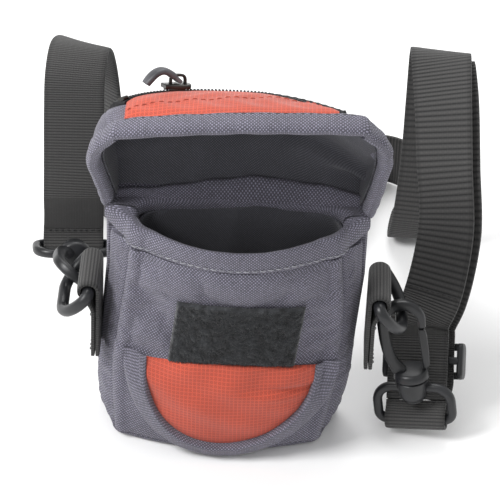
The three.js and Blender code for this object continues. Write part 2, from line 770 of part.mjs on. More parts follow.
function tabGeometry() {
  const foot = tabBottom - tabLoopHeight;
  const shape = new THREE.Shape();
  shape.moveTo(-tabLoopOut, foot + 2);
  shape.quadraticCurveTo(-tabLoopOut, foot, -tabLoopOut + 1, foot);
  shape.lineTo(2 * tabThickness - tabLoopOut - 1, foot);
  shape.quadraticCurveTo(2 * tabThickness - tabLoopOut, foot, 2 * tabThickness - tabLoopOut, foot + 2);
  shape.lineTo(2 * tabThickness - tabLoopOut, -2.4 * tabLoopOut);
  shape.lineTo(tabLoopOut, -1);
  shape.absarc(0, 0, tabLoopOut, 0, Math.PI, false);
  const bore = new THREE.Path();
  bore.absarc(0, 0, ringBore, 0, 2 * Math.PI, false);
  shape.holes.push(bore);
  const geometry = new THREE.ExtrudeGeometry(shape, { depth: tabWidth, bevelEnabled: false, curveSegments: 10 });
  return geometry.rotateX(Math.PI / 2).translate(0, tabWidth / 2, 0);
}

// The D-ring lies in its own XY plane with its straight bar along x and its tip towards -y.
function ringGeometry() {
  const straight = tabWidth / 2 + gap;
  const half = straight + ringCorner;
  const path = new THREE.Path();
  path.moveTo(-straight, 0);
  path.lineTo(straight, 0);
  path.absarc(straight, -ringCorner, ringCorner, Math.PI / 2, 0, true);
  path.bezierCurveTo(half, -0.62 * ringDrop, ringTipHalf + 4, -ringDrop, ringTipHalf, -ringDrop);
  path.lineTo(-ringTipHalf, -ringDrop);
  path.bezierCurveTo(-ringTipHalf - 4, -ringDrop, -half, -0.62 * ringDrop, -half, -ringCorner);
  path.absarc(-straight, -ringCorner, ringCorner, Math.PI, Math.PI / 2, true);
  const points = path.getSpacedPoints(ringSteps).slice(0, -1);
  return rod(points, ringRod, rodSides, true);
}

function buildTab(sense, side, ringDegrees) {
  const holder = new THREE.Group();
  holder.position.copy(tabCentre(sense));
  pouch.add(holder);
  const tab = addMesh(holder, `${side}_tab`, tabGeometry(), colours.black, 0.95);
  if (sense < 0) {
    tab.rotation.z = Math.PI;
  }
  const ring = new THREE.Group();
  const hang = radians(ringDegrees) * sense;
  const drop = vec(Math.sin(hang), 0, -Math.cos(hang));
  const along = vec(0, 1, 0);
  const up = drop.clone().negate();
  ring.quaternion.setFromRotationMatrix(new THREE.Matrix4().makeBasis(along, up, along.clone().cross(up)));
  holder.add(ring);
  addMesh(ring, `${side}_ring`, ringGeometry(), colours.plastic, 0.45);
  return { drop, centre: tabCentre(sense) };
}

// Snap hooks

// The hook's centreline in its own plane, x across and y towards the crook.
function hookCentreline() {
  const path = new THREE.Path();
  const left = crookCentreAcross - crookRadius;
  path.moveTo(spineFootAcross, 0);
  path.bezierCurveTo(spineFootAcross - 3, 5, left, 9, left, crookCentreUp);
  path.absarc(crookCentreAcross, crookCentreUp, crookRadius, Math.PI, 0, true);
  path.lineTo(crookCentreAcross + crookRadius, crookCentreUp - noseLength);
  return path;
}

function crookGeometry() {
  const path = hookCentreline();
  const steps = 26;
  const left = [];
  const right = [];
  for (let i = 0; i <= steps; i += 1) {
    const t = i / steps;
    const point = path.getPointAt(t);
    const tangent = path.getTangentAt(t);
    const half = (t < 0.75 ? crookHalf : THREE.MathUtils.lerp(crookHalf, noseHalf, (t - 0.75) / 0.25)) - hookBevel;
    left.push(new THREE.Vector2(point.x - tangent.y * half, point.y + tangent.x * half));
    right.push(new THREE.Vector2(point.x + tangent.y * half, point.y - tangent.x * half));
  }
  const shape = new THREE.Shape([...left, ...right.reverse()]);
  const geometry = new THREE.ExtrudeGeometry(shape, {
    depth: hookThickness - 2 * hookBevel, bevelEnabled: true, bevelSegments: 1, bevelSize: hookBevel,
    bevelThickness: hookBevel,
  });
  return geometry.translate(0, 0, hookBevel - hookThickness / 2);
}

const barrelTop = -flangeHalfHeight - gap;
const barrelFoot = barrelTop - barrelLength;
const headTop = barrelFoot - gap;

function hookGeometry() {
  const flange = new THREE.CylinderGeometry(flangeRadius - 0.8, flangeRadius, 2 * flangeHalfHeight, 20);
  const stem = new THREE.CylinderGeometry(stemRadius, stemRadius, flangeHalfHeight - headTop, 12);
  stem.translate(0, (headTop - flangeHalfHeight) / 2, 0);
  const head = new THREE.CylinderGeometry(headRadius, headRadius, headThickness, 14);
  head.translate(0, headTop - headThickness / 2 + 0.01, 0);
  return fuse(flange, stem, head, crookGeometry());
}

function swivelLoopGeometry() {
  const top = -barBelowFlange + loopHeight;
  const foot = -barBelowFlange;
  const footHalf = loopHalf - loopFootCorner;
  const topHalf = loopHalf - loopCorner;
  const path = new THREE.Path();
  path.moveTo(-footHalf, foot);
  path.lineTo(footHalf, foot);
  path.absarc(footHalf, foot + loopFootCorner, loopFootCorner, -Math.PI / 2, 0, false);
  path.absarc(topHalf, top - loopCorner, loopCorner, 0, Math.PI / 2, false);
  path.absarc(-topHalf, top - loopCorner, loopCorner, Math.PI / 2, Math.PI, false);
  path.absarc(-footHalf, foot + loopFootCorner, loopFootCorner, Math.PI, 1.5 * Math.PI, false);
  const frame = rod(path.getSpacedPoints(loopSteps).slice(0, -1), loopRod, rodSides, true);
  const barrel = new THREE.CylinderGeometry(barrelTopRadius, barrelFootRadius, barrelLength, 20);
  barrel.translate(0, (barrelTop + barrelFoot) / 2, 0);
  const bore = new THREE.CylinderGeometry(stemRadius + stemClear, stemRadius + stemClear, barrelLength + 2, 12);
  return cut(fuse(frame, barrel), bore.translate(0, (barrelTop + barrelFoot) / 2, 0));
}

function gateGeometry() {
  const foot = flangeHalfHeight + gap;
  const top = crookCentreUp - noseLength - hookBevel - gap;
  const half = gateWidth / 2;
  const shape = new THREE.Shape();
  shape.moveTo(gateAcross - half, foot);
  shape.lineTo(gateAcross + half - 1, foot);
  shape.lineTo(gateAcross + half, foot + 1.4);
  shape.lineTo(crookCentreAcross + crookRadius + noseHalf - 0.3, top - 1);
  shape.lineTo(crookCentreAcross + crookRadius + noseHalf - 0.8, top);
  shape.lineTo(crookCentreAcross + crookRadius - noseHalf, top);
  const geometry = new THREE.ExtrudeGeometry(shape, { depth: gateThickness, bevelEnabled: false });
  return geometry.translate(0, 0, -gateThickness / 2);
}

// A hook whose crook holds the ring's rod at a point, with its length and its width directions.
function buildHook(side, held, length, width, slack, loopTurnDegrees) {
  const along = length.clone().normalize();
  const across = width.clone().addScaledVector(along, -width.dot(along)).normalize();
  const out = across.clone().cross(along);
  const frame = new THREE.Group();
  frame.quaternion.setFromRotationMatrix(new THREE.Matrix4().makeBasis(across, along, out));
  const rodUp = crookCentreUp + crookRadius - crookHalf - ringRod - slack;
  frame.position.copy(held).addScaledVector(along, -rodUp).addScaledVector(across, -crookCentreAcross);
  pouch.add(frame);
  addMesh(frame, `${side}_hook`, hookGeometry(), colours.plastic, 0.45);
  addMesh(frame, `${side}_gate`, gateGeometry(), colours.plastic, 0.45);
  const loop = addMesh(frame, `${side}_swivel_loop`, swivelLoopGeometry(), colours.plastic, 0.45);
  loop.rotation.y = radians(loopTurnDegrees);
  const barAcross = across.clone().applyAxisAngle(along, radians(loopTurnDegrees));
  const bar = frame.position.clone().addScaledVector(along, -barBelowFlange);
  return { bar, barAcross };
}

// Webbing

// A ribbon through centre points, each with the direction of its width.
function ribbon(centres, widths) {
  const rings = centres.map((centre, i) => {
    const before = centres[Math.max(i - 1, 0)];
    const after = centres[Math.min(i + 1, centres.length - 1)];
    const along = after.clone().sub(before).normalize();
    const across = widths[i].clone().addScaledVector(along, -widths[i].dot(along)).normalize();
    const face = across.clone().cross(along);
    return [[-1, -1], [1, -1], [1, 1], [-1, 1]].map(([side, front]) => centre.clone()
      .addScaledVector(across, (side * webbingWidth) / 2)
      .addScaledVector(face, (front * webbingThickness) / 2));
  });
  return loft(rings);
}

// The sewn end: webbing round a loop's bar, closing to a double layer that leads away along the strap.
function sewnLoopGeometry() {
  const bore = loopRod + gap;
  const outer = bore + webbingThickness;
  const layer = webbingThickness + gap / 2;
  const shape = new THREE.Shape();
  shape.absarc(0, 0, outer, Math.PI * 0.42, Math.PI * 1.58, false);
  shape.lineTo(sewnTaper, -layer);
  shape.lineTo(sewnTail, -layer);
  shape.lineTo(sewnTail, layer);
  shape.lineTo(sewnTaper, layer);
  const hole = new THREE.Path();
  hole.absarc(0, 0, bore, Math.PI * 0.35, Math.PI * 1.65, false);
  hole.lineTo(sewnHoleEnd, 0);
  shape.holes.push(hole);
  const geometry = new THREE.ExtrudeGeometry(shape, { depth: webbingWidth, bevelEnabled: false, curveSegments: 12 });
  return geometry.translate(0, 0, -webbingWidth / 2);
}

// The frame of a strap where it leaves its bar: along it, across it and out of its front face.
function strapStart(hook, direction) {
  const across = hook.barAcross;
  const along = direction.clone().addScaledVector(across, -direction.dot(across)).normalize();
  const face = across.clone().cross(along);
  return { bar: hook.bar, along, across, face };
}

function buildSewnLoop(side, start) {
  const mesh = addMesh(pouch, `${side}_sewn_loop`, sewnLoopGeometry(), colours.black, 0.95);
  const basis = new THREE.Matrix4().makeBasis(start.along, start.face, start.across);
  mesh.quaternion.setFromRotationMatrix(basis);
  mesh.position.copy(start.bar);
}

const layerOff = webbingThickness / 2 + gap / 2;
const coilHeight = webbingWidth / 2 + coilLift;
const coilGrowth = coilPitch / Math.PI;
const coilTurn = (coilOuterRadius - coilInnerRadius) / coilGrowth;

// One arm of the coil, from its inner end outwards; the other arm is the same, half a turn on.
function coilArm(phase) {
  const steps = 34;
  return Array.from({ length: steps + 1 }, (_, i) => {
    const turn = (coilTurn * i) / steps;
    const radius = coilInnerRadius + coilGrowth * turn;
    const angle = phase + turn;
    return vec(coilCentreX + radius * Math.cos(angle), coilCentreY + radius * Math.sin(angle), coilHeight);
  });
}

const leftArmPhase = radians(135) - coilTurn;

function coilCentres() {
  const left = coilArm(leftArmPhase);
  const right = coilArm(leftArmPhase + Math.PI);
  const middle = vec(coilCentreX, coilCentreY, coilHeight);
  const half = coilInnerRadius / 2;
  const bend = (inner, from, sense) => {
    const centre = middle.clone().lerp(inner, 0.5);
    return [1, 2, 3, 4].map((i) => {
      const angle = from + (sense * Math.PI * i) / 5;
      return vec(centre.x + half * Math.cos(angle), centre.y + half * Math.sin(angle), coilHeight);
    });
  };
  const inward = bend(left[0], leftArmPhase, -1);
  const outward = bend(right[0], leftArmPhase + Math.PI, -1).reverse();
  return [...left.reverse(), ...inward, middle, ...outward, ...right];
}

// The least clear distance between layers of the coil.
function coilSelfGap(centres) {
  const away = 3 * coilPitch;
  let least = Infinity;
  let run = 0;
  const runs = centres.map((centre, i) => {
    run += i > 0 ? centre.distanceTo(centres[i - 1]) : 0;
    return run;
  });
  centres.forEach((a, i) => {
    centres.forEach((b, j) => {
      if (runs[j] - runs[i] > away) {
        least = Math.min(least, a.distanceTo(b) - webbingThickness);
      }
    });
  });
  return least;
}

// Points that a route passes, each a place and the direction of the webbing's width there.
const rightRoute = [
  [[68, 28.5, 38.5], [0.93, -0.27, 0.24]],
  [[71.6, 42, 57.5], [0.88, -0.35, 0.3]],
  [[70, 57, 76], [0.88, -0.35, 0.3]],
  [[68, 71, 93], [0.9, -0.3, 0.25]],
  [[66, 84, 101], [0.94, -0.25, 0.1]],
  [[65, 96, 93], [0.97, -0.12, 0]],
  [[65, 101, 70], [1, 0, 0]],
  [[65, 101, 40], [1, 0, 0]],
  [[65, 101, 16], [1, 0, 0]],
  [[65, 106, 5], [1, 0, 0.02]],
  [[65.5, 118, 6.4], [0.92, 0, 0.38]],
  [[66, 130, 10.8], [0.5, 0, 0.85]],
  [[60, 142, 11.6], [0.05, 0, 1]],
  [[47, 145, 11], [0, 0, 1]],
];
const leftRoute = [
  [[-58.5, 57, 52], [1, 0, 0]],
  [[-58.8, 62, 67], [1, 0, 0]],
  [[-59.2, 68, 82], [1, 0.02, 0]],
  [[-59.5, 76, 95], [0.99, 0.05, 0]],
  [[-59, 86, 101], [0.95, -0.15, 0]],
  [[-56.5, 96, 94], [0.85, -0.4, -0.05]],
  [[-53.5, 101, 75], [0.78, -0.6, 0]],
  [[-51.5, 103.5, 45], [0.74, -0.67, 0]],
  [[-50.5, 104.5, 18], [0.72, -0.7, 0]],
  [[-48.5, 107, 5.6], [0.72, -0.68, 0.02]],
  [[-41, 115, 10.2], [0.5, -0.48, 0.7]],
];

function buildStraps(leftStart, rightStart) {
  const coil = coilCentres();
  const up = vec(0, 0, 1);
  addMesh(pouch, 'strap_coil', ribbon(coil, coil.map(() => up)), colours.black, 0.95);
  console.log(`least gap between layers of the coil: ${coilSelfGap(coil).toFixed(2)} mm`);

  const beyond = (last, before) => [coilLeadIn, gap].map((distance) => last.clone()
    .addScaledVector(last.clone().sub(before).normalize(), distance));
  const along = (start, run, off, shift = 0) => start.bar.clone()
    .addScaledVector(start.along, run).addScaledVector(start.face, off).addScaledVector(start.across, shift);
  const sample = (places, widths, steps) => {
    const centreCurve = new THREE.CatmullRomCurve3(places, false, 'centripetal');
    const widthCurve = new THREE.CatmullRomCurve3(widths, false, 'centripetal');
    const shares = Array.from({ length: steps + 1 }, (_, i) => i / steps);
    return ribbon(shares.map((t) => centreCurve.getPoint(t)), shares.map((t) => widthCurve.getPoint(t)));
  };
  const route = (start, points, ends, steps, straight) => {
    const runs = [sewnTail + gap, (sewnTail + straight) / 2, straight - straightEase, straight];
    const places = [
      ...runs.map((run) => along(start, run, layerOff)), ...points.map(([place]) => vec(...place)), ...ends,
    ];
    const widths = [...runs.map(() => start.across), ...points.map(([, width]) => vec(...width)), up, up];
    return sample(places, widths, steps);
  };
  const rightEnds = beyond(coil.at(-1), coil.at(-2));
  const rightStraight = adjusterAlong + adjusterLength / 2 + strapStraight;
  const right = route(rightStart, rightRoute, rightEnds, rightSteps, rightStraight);
  addMesh(pouch, 'strap_right', right, colours.black, 0.95);
  const left = route(leftStart, leftRoute, beyond(coil[0], coil[1]), leftSteps, sewnTail + strapStraight);
  addMesh(pouch, 'strap_left', left, colours.black, 0.95);
  return { along };
}

// Adjuster: its centre bar lies between the two layers of webbing, and its outer bars behind both.
function buildAdjuster(start, along) {
  const railAt = webbingWidth / 2 + adjusterSideClear;
  const frontOff = -adjusterClear;
  const returnOff = frontOff - adjusterBar - adjusterClear - webbingThickness / 2;
  const rearOff = returnOff - webbingThickness / 2 - adjusterClear;
  const backOff = rearOff - adjusterBar;
  const half = adjusterLength / 2;
  const side = railAt + adjusterRail;
  const rails = [1, -1].map((sense) => {
    const [a, b] = [sense * railAt, sense * side].sort((p, q) => p - q);
    return box(-half, half, backOff, frontOff, a, b);
  });
  const centreBar = box(
    -adjusterBarLength / 2, adjusterBarLength / 2, frontOff - adjusterBar, frontOff, -railAt - 1, railAt + 1,
  );
  const endBars = [1, -1].map((sense) => {
    const [a, b] = [sense * half, sense * (half - adjusterBarLength)].sort((p, q) => p - q);
    return box(a, b, backOff, rearOff, -railAt - 1, railAt + 1);
  });
  const adjuster = addMesh(pouch, 'tri_glide', fuse(rails[0], rails[1], centreBar, ...endBars), colours.plastic, 0.45);
  const basis = new THREE.Matrix4().makeBasis(start.along, start.face, start.across);
  adjuster.quaternion.setFromRotationMatrix(basis);
  adjuster.position.copy(along(start, adjusterAlong, 0, returnShift));

  const leave = adjusterAlong + half + strapStraight;
  const behind = returnOff - layerOff;
  const layerAt = (index, off) => {
    const [place, width] = rightRoute[index];
    const before = vec(...rightRoute[Math.max(index - 1, 0)][0]);
    const after = vec(...rightRoute[index + 1][0]);
    const across = vec(...width).normalize();
    const face = across.clone().cross(after.sub(before).normalize()).normalize();
    return vec(...place).addScaledVector(face, off).addScaledVector(across, returnShift);
  };
  const indices = Array.from({ length: returnRoutePoints }, (_, i) => i);
  const straightRuns = [sewnTail + returnSettle, adjusterAlong, leave - straightEase, leave];
  const places = [
    along(start, sewnTail + gap, -layerOff - gap), along(start, sewnTail + 1, -layerOff - gap),
    along(start, sewnTail + returnRise, (returnOff - layerOff) / 2, returnShift / 2),
    ...straightRuns.map((run) => along(start, run, returnOff, returnShift)),
    ...indices.map((i) => layerAt(i, behind * returnRouteShare)),
  ];
  const widths = [
    ...Array.from({ length: straightRuns.length + 3 }, () => start.across),
    ...indices.map((i) => vec(...rightRoute[i][1])),
  ];
  const centreCurve = new THREE.CatmullRomCurve3(places, false, 'centripetal');
  const widthCurve = new THREE.CatmullRomCurve3(widths, false, 'centripetal');
  const shares = Array.from({ length: returnSteps + 1 }, (_, i) => i / returnSteps);
  const layer = ribbon(shares.map((t) => centreCurve.getPoint(t)), shares.map((t) => widthCurve.getPoint(t)));
  addMesh(pouch, 'strap_return', layer, colours.black, 0.95);
}

buildBody();
buildFront();
buildBeltLoop();
buildLid();
buildSlider(buildZip());

const rightRing = buildTab(1, 'right', rightRingDegrees);
const leftRing = buildTab(-1, 'left', leftRingDegrees);
const rightHeld = rightRing.centre.clone().addScaledVector(rightRing.drop, ringDrop);
const rightHook = buildHook('right', rightHeld, vec(-0.15, 0.137, 0.98), vec(1, 0, 0), rightHookSlack, -12);
const leftHeld = leftRing.centre.clone().addScaledVector(leftRing.drop, 9.5).add(vec(0, 9.6, 0));
const leftAcross = leftRing.drop.clone().cross(vec(0, 1, 0));
const leftHook = buildHook('left', leftHeld, vec(0.11, -0.91, 0.39), leftAcross, leftHookSlack, 38);
const rightStart = strapStart(rightHook, vec(0.21, 0.616, 0.76));
const leftStart = strapStart(leftHook, vec(0, 0.25, 0.97));
buildSewnLoop('right', rightStart);
buildSewnLoop('left', leftStart);
const { along } = buildStraps(leftStart, rightStart);
buildAdjuster(rightStart, along);

export default pouch;
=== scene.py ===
"""Dressed model of a small padded camera pouch with an open lid and a webbing strap.

Sizes are in millimetres unless a name says otherwise; meshes are written in metres, in the CAD frame:
origin at the centre of the base, X to the right, front towards -Y, Z up.
"""
import logging
import math
from collections.abc import Callable, Sequence
from dataclasses import dataclass
from enum import Enum
from functools import cached_property
from typing import ClassVar

import bpy
import numpy as np
from mathutils import Matrix, Vector


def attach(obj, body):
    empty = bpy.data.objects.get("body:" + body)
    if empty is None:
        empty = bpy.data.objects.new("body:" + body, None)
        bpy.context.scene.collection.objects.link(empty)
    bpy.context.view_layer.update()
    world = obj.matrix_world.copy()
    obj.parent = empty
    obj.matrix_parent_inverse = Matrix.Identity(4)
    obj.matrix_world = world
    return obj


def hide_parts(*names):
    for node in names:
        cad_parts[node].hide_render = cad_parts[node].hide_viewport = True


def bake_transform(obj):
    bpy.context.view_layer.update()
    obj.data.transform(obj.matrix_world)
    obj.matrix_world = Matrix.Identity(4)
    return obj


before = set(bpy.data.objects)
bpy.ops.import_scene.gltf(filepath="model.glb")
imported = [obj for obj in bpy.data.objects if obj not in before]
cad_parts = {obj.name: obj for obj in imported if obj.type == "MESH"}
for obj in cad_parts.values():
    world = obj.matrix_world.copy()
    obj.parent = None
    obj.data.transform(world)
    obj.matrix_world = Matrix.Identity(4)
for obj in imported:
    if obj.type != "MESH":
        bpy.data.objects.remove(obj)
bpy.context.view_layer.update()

MM = 0.001
CLOTH_SCALE, CLOTH_FRAMES, CLOTH_PRESSURE, CLOTH_MOVE = 0.01, 20, 0.4, 1.6
log = logging.getLogger("camera_pouch")

Grid = np.ndarray
Piece = bpy.types.Object
Socket = bpy.types.NodeSocket
Triple = tuple[float, float, float]
X_AXIS, Y_AXIS, Z_AXIS = np.eye(3)


class Body(Enum):
    """The moving bodies of the frame that pieces ride on."""

    POUCH = "pouch"
    LID = "lid"
    SLIDER = "slider"
    PULL = "pull"
    RIGHT_RING = "right_ring_body"
    LEFT_RING = "left_ring_body"
    RIGHT_HOOK = "right_hook_body"
    LEFT_HOOK = "left_hook_body"
    RIGHT_GATE = "right_gate_body"
    LEFT_GATE = "left_gate_body"
    ADJUSTER = "adjuster"


class Side(Enum):
    """The two sides of the pouch, seen from the front."""

    RIGHT = 1
    LEFT = -1

    @property
    def label(self) -> str:
        """The side's word in node names."""
        return self.name.lower()


# Node trees


class Desk:
    """Adds nodes to a tree and joins them, with inputs set by number or name."""

    def __init__(self, tree: bpy.types.NodeTree) -> None:
        """Keeps the tree to work on.

        Args:
            tree: a shader or geometry node tree.
        """
        self.tree = tree

    def add(self, kind: str, inputs: dict | None = None, **settings: object) -> bpy.types.Node:
        """Adds one node.

        Args:
            kind: the node's type name.
            inputs: a value or a socket for each input, by name or number.
            settings: the node's own properties.

        Returns:
            The new node.
        """
        node = self.tree.nodes.new(kind)
        for key, value in settings.items():
            setattr(node, key, value)
        for key, value in (inputs or {}).items():
            self.feed(node.inputs[key], value)
        return node

    def feed(self, socket: Socket, value: object) -> None:
        """Links a socket to an input, or sets the input's value."""
        if isinstance(value, Socket):
            self.tree.links.new(value, socket)
        else:
            socket.default_value = value

    def math(self, operation: str, first: object, second: object = 0.0, third: object = 0.0) -> Socket:
        """Adds one Math node and returns its value."""
        node = self.add("ShaderNodeMath", {0: first, 1: second, 2: third}, operation=operation)
        return node.outputs[0]

    def blend(self, share: object, low: object, high: object) -> Socket:
        """Adds a colour mix and returns its result."""
        node = self.add("ShaderNodeMix", data_type="RGBA")
        for key, value in ((0, share), (6, low), (7, high)):
            self.feed(node.inputs[key], value)
        return node.outputs[2]

    def remap(self, value: object, low: float, high: float, to_low: float, to_high: float) -> Socket:
        """Adds a clamped Map Range and returns its result."""
        node = self.add("ShaderNodeMapRange", {0: value, 1: low, 2: high, 3: to_low, 4: to_high})
        return node.outputs[0]

    def hump(self, share: object) -> Socket:
        """Half a sine wave over a share from 0 to 1."""
        return self.math("SINE", self.math("MULTIPLY", share, math.pi))

    def bump(self, shader: bpy.types.Node, strength: float, relief: float, height: Socket) -> None:
        """Raises a shader's surface by a height, with a relief in millimetres."""
        raised = self.add("ShaderNodeBump", {"Strength": strength, "Distance": relief * MM, "Height": height})
        self.feed(shader.inputs["Normal"], raised.outputs[0])


def open_group(name: str, inputs: dict[str, object], outputs: dict[str, str]) -> tuple[Desk, dict, dict]:
    """Starts a shader node group with named sockets.

    Args:
        name: the group's name.
        inputs: the default of each input; a tuple of three is a vector and None a vector to be linked.
        outputs: the socket type of each output.

    Returns:
        The desk for the group's tree, its input sockets and the output node's inputs, by name.
    """
    tree = bpy.data.node_groups.new(name, "ShaderNodeTree")
    for label, default in inputs.items():
        kind = "NodeSocketVector" if default is None else "NodeSocketFloat"
        socket = tree.interface.new_socket(label, in_out="INPUT", socket_type=kind)
        if default is not None:
            socket.default_value = default
    for label, kind in outputs.items():
        tree.interface.new_socket(label, in_out="OUTPUT", socket_type=kind)
    desk = Desk(tree)
    start = desk.add("NodeGroupInput")
    end = desk.add("NodeGroupOutput")
    return desk, {s.name: s for s in start.outputs}, {s.name: s for s in end.inputs}


class Patterns:
    """Shader node groups shared by the cloth and hardware finishes, each built when first asked for."""

    @cached_property
    def weave(self) -> bpy.types.NodeTree:
        """Plain weave of round threads: Height, Over for the threads across, and Fleck for glints."""
        desk, given, out = open_group(
            "thread_weave",
            {"Vector": None, "Thread": 0.0006, "Waver": 0.12, "Float": 0.5},
            {"Height": "NodeSocketFloat", "Over": "NodeSocketFloat", "Fleck": "NodeSocketFloat"},
        )
        wander = desk.add("ShaderNodeTexNoise", {"Vector": given["Vector"], "Scale": 260.0, "Detail": 1.0})
        shift = desk.math("MULTIPLY", desk.math("SUBTRACT", wander.outputs[0], 0.5), given["Waver"])
        apart = desk.add("ShaderNodeSeparateXYZ", {0: given["Vector"]})
        across = desk.math("ADD", desk.math("DIVIDE", apart.outputs[0], given["Thread"]), shift)
        along = desk.math("ADD", desk.math("DIVIDE", apart.outputs[1], given["Thread"]), shift)
        cell_u, cell_v = desk.math("FLOOR", across), desk.math("FLOOR", along)
        part_u, part_v = desk.math("FRACT", across), desk.math("FRACT", along)
        turn = desk.math("FLOORED_MODULO", desk.math("ADD", cell_u, cell_v), 2.0)
        over = desk.math("GREATER_THAN", turn, 0.5)

        def crown(part: Socket) -> Socket:
            """The round top of a thread across its width."""
            middle = desk.math("SUBTRACT", desk.math("MULTIPLY", part, 2.0), 1.0)
            return desk.math("SQRT", desk.math("SUBTRACT", 1.0, desk.math("MULTIPLY", middle, middle)))

        def arch(part: Socket) -> Socket:
            """The rise of a thread over the one that it crosses."""
            low = desk.math("SUBTRACT", 1.0, given["Float"])
            return desk.math("MULTIPLY_ADD", desk.hump(part), given["Float"], low)

        weft = desk.math("MULTIPLY", crown(part_v), arch(part_u))
        warp = desk.math("MULTIPLY", crown(part_u), arch(part_v))
        height = desk.add("ShaderNodeMix", {0: over, 2: warp, 3: weft}, data_type="FLOAT").outputs[0]
        cells = desk.add("ShaderNodeCombineXYZ", {0: cell_u, 1: cell_v})
        chance = desk.add("ShaderNodeTexWhiteNoise", {0: cells.outputs[0]}, noise_dimensions="2D")
        desk.feed(out["Height"], height)
        desk.feed(out["Over"], over)
        desk.feed(out["Fleck"], chance.outputs[0])
        return desk.tree

    @cached_property
    def mottle(self) -> bpy.types.NodeTree:
        """Broad soft variation and fine lint, both from 0 to 1."""
        desk, given, out = open_group(
            "cloth_mottle",
            {"Vector": None, "Broad": 45.0, "Fine": 900.0},
            {"Broad": "NodeSocketFloat", "Lint": "NodeSocketFloat"},
        )
        for result, scale, detail, low, high in (
            ("Broad", "Broad", 3.0, 0.3, 0.7), ("Lint", "Fine", 1.0, 0.62, 0.78),
        ):
            values = {"Vector": given["Vector"], "Scale": given[scale], "Detail": detail}
            noise = desk.add("ShaderNodeTexNoise", values)
            desk.feed(out[result], desk.remap(noise.outputs[0], low, high, 0.0, 1.0))
        return desk.tree

    @cached_property
    def ribs(self) -> bpy.types.NodeTree:
        """Cords across a webbing and the fine threads that bind them, with Y of the vector along it."""
        desk, given, out = open_group(
            "webbing_ribs",
            {"Vector": None, "Rib": 0.0012, "Binder": 0.0009},
            {"Height": "NodeSocketFloat", "Binder": "NodeSocketFloat"},
        )
        apart = desk.add("ShaderNodeSeparateXYZ", {0: given["Vector"]})
        rows = desk.math("DIVIDE", apart.outputs[1], given["Rib"])
        columns = desk.math("DIVIDE", apart.outputs[0], given["Binder"])
        odd = desk.math("FLOORED_MODULO", desk.math("FLOOR", columns), 2.0)
        stagger = desk.math("MULTIPLY", odd, 0.5)
        part = desk.math("FRACT", desk.math("ADD", rows, stagger))
        cord = desk.hump(desk.math("FRACT", rows))
        thread = desk.hump(desk.math("FRACT", columns))
        tick = desk.math("MULTIPLY", desk.hump(part), thread)
        height = desk.math("ADD", desk.math("MULTIPLY", cord, 0.85), desk.math("MULTIPLY", tick, 0.15))
        desk.feed(out["Height"], height)
        desk.feed(out["Binder"], tick)
        return desk.tree


PATTERNS = Patterns()


def from_srgb(red: float, green: float, blue: float) -> tuple[float, ...]:
    """The linear colour of an 8-bit screen colour."""
    parts = [value / 255 for value in (red, green, blue)]
    linear = [c / 12.92 if c <= 0.04045 else ((c + 0.055) / 1.055) ** 2.4 for c in parts]
    return (linear[0], linear[1], linear[2], 1.0)


# Finishes


@dataclass(frozen=True)
class Finish:
    """What every finish has: its name, its colours and the name of its slot."""

    name: str
    slot: str
    dark: Triple
    light: Triple
    roughness: float = 0.85

    def material(self) -> bpy.types.Material:
        """The finish's material, built the first time that it is asked for."""
        found = bpy.data.materials.get(self.name)
        if found is None:
            found = bpy.data.materials.new(self.name)
            found.use_nodes = True
            tree = found.node_tree
            tree.nodes.clear()
            desk = Desk(tree)
            end = desk.add("ShaderNodeOutputMaterial")
            shader = desk.add("ShaderNodeBsdfPrincipled", {"Roughness": self.roughness})
            desk.feed(end.inputs[0], shader.outputs[0])
            self.dress(desk, shader)
        return found

    def dress(self, desk: Desk, shader: bpy.types.Node) -> None:
        """Feeds the shader; each kind of finish has its own way."""
        desk.feed(shader.inputs["Base Color"], from_srgb(*self.light))

    def ground(self, desk: Desk) -> Socket:
        """The piece's own flat coordinates, in metres of cloth."""
        return desk.add("ShaderNodeUVMap", uv_map="cloth").outputs[0]

    def mottle(self, desk: Desk, **scales: float) -> bpy.types.Node:
        """The shared variation over the object's own coordinates, at some scales or the group's own."""
        place = desk.add("ShaderNodeTexCoord").outputs["Object"]
        return desk.add("ShaderNodeGroup", {"Vector": place, **scales}, node_tree=PATTERNS.mottle)


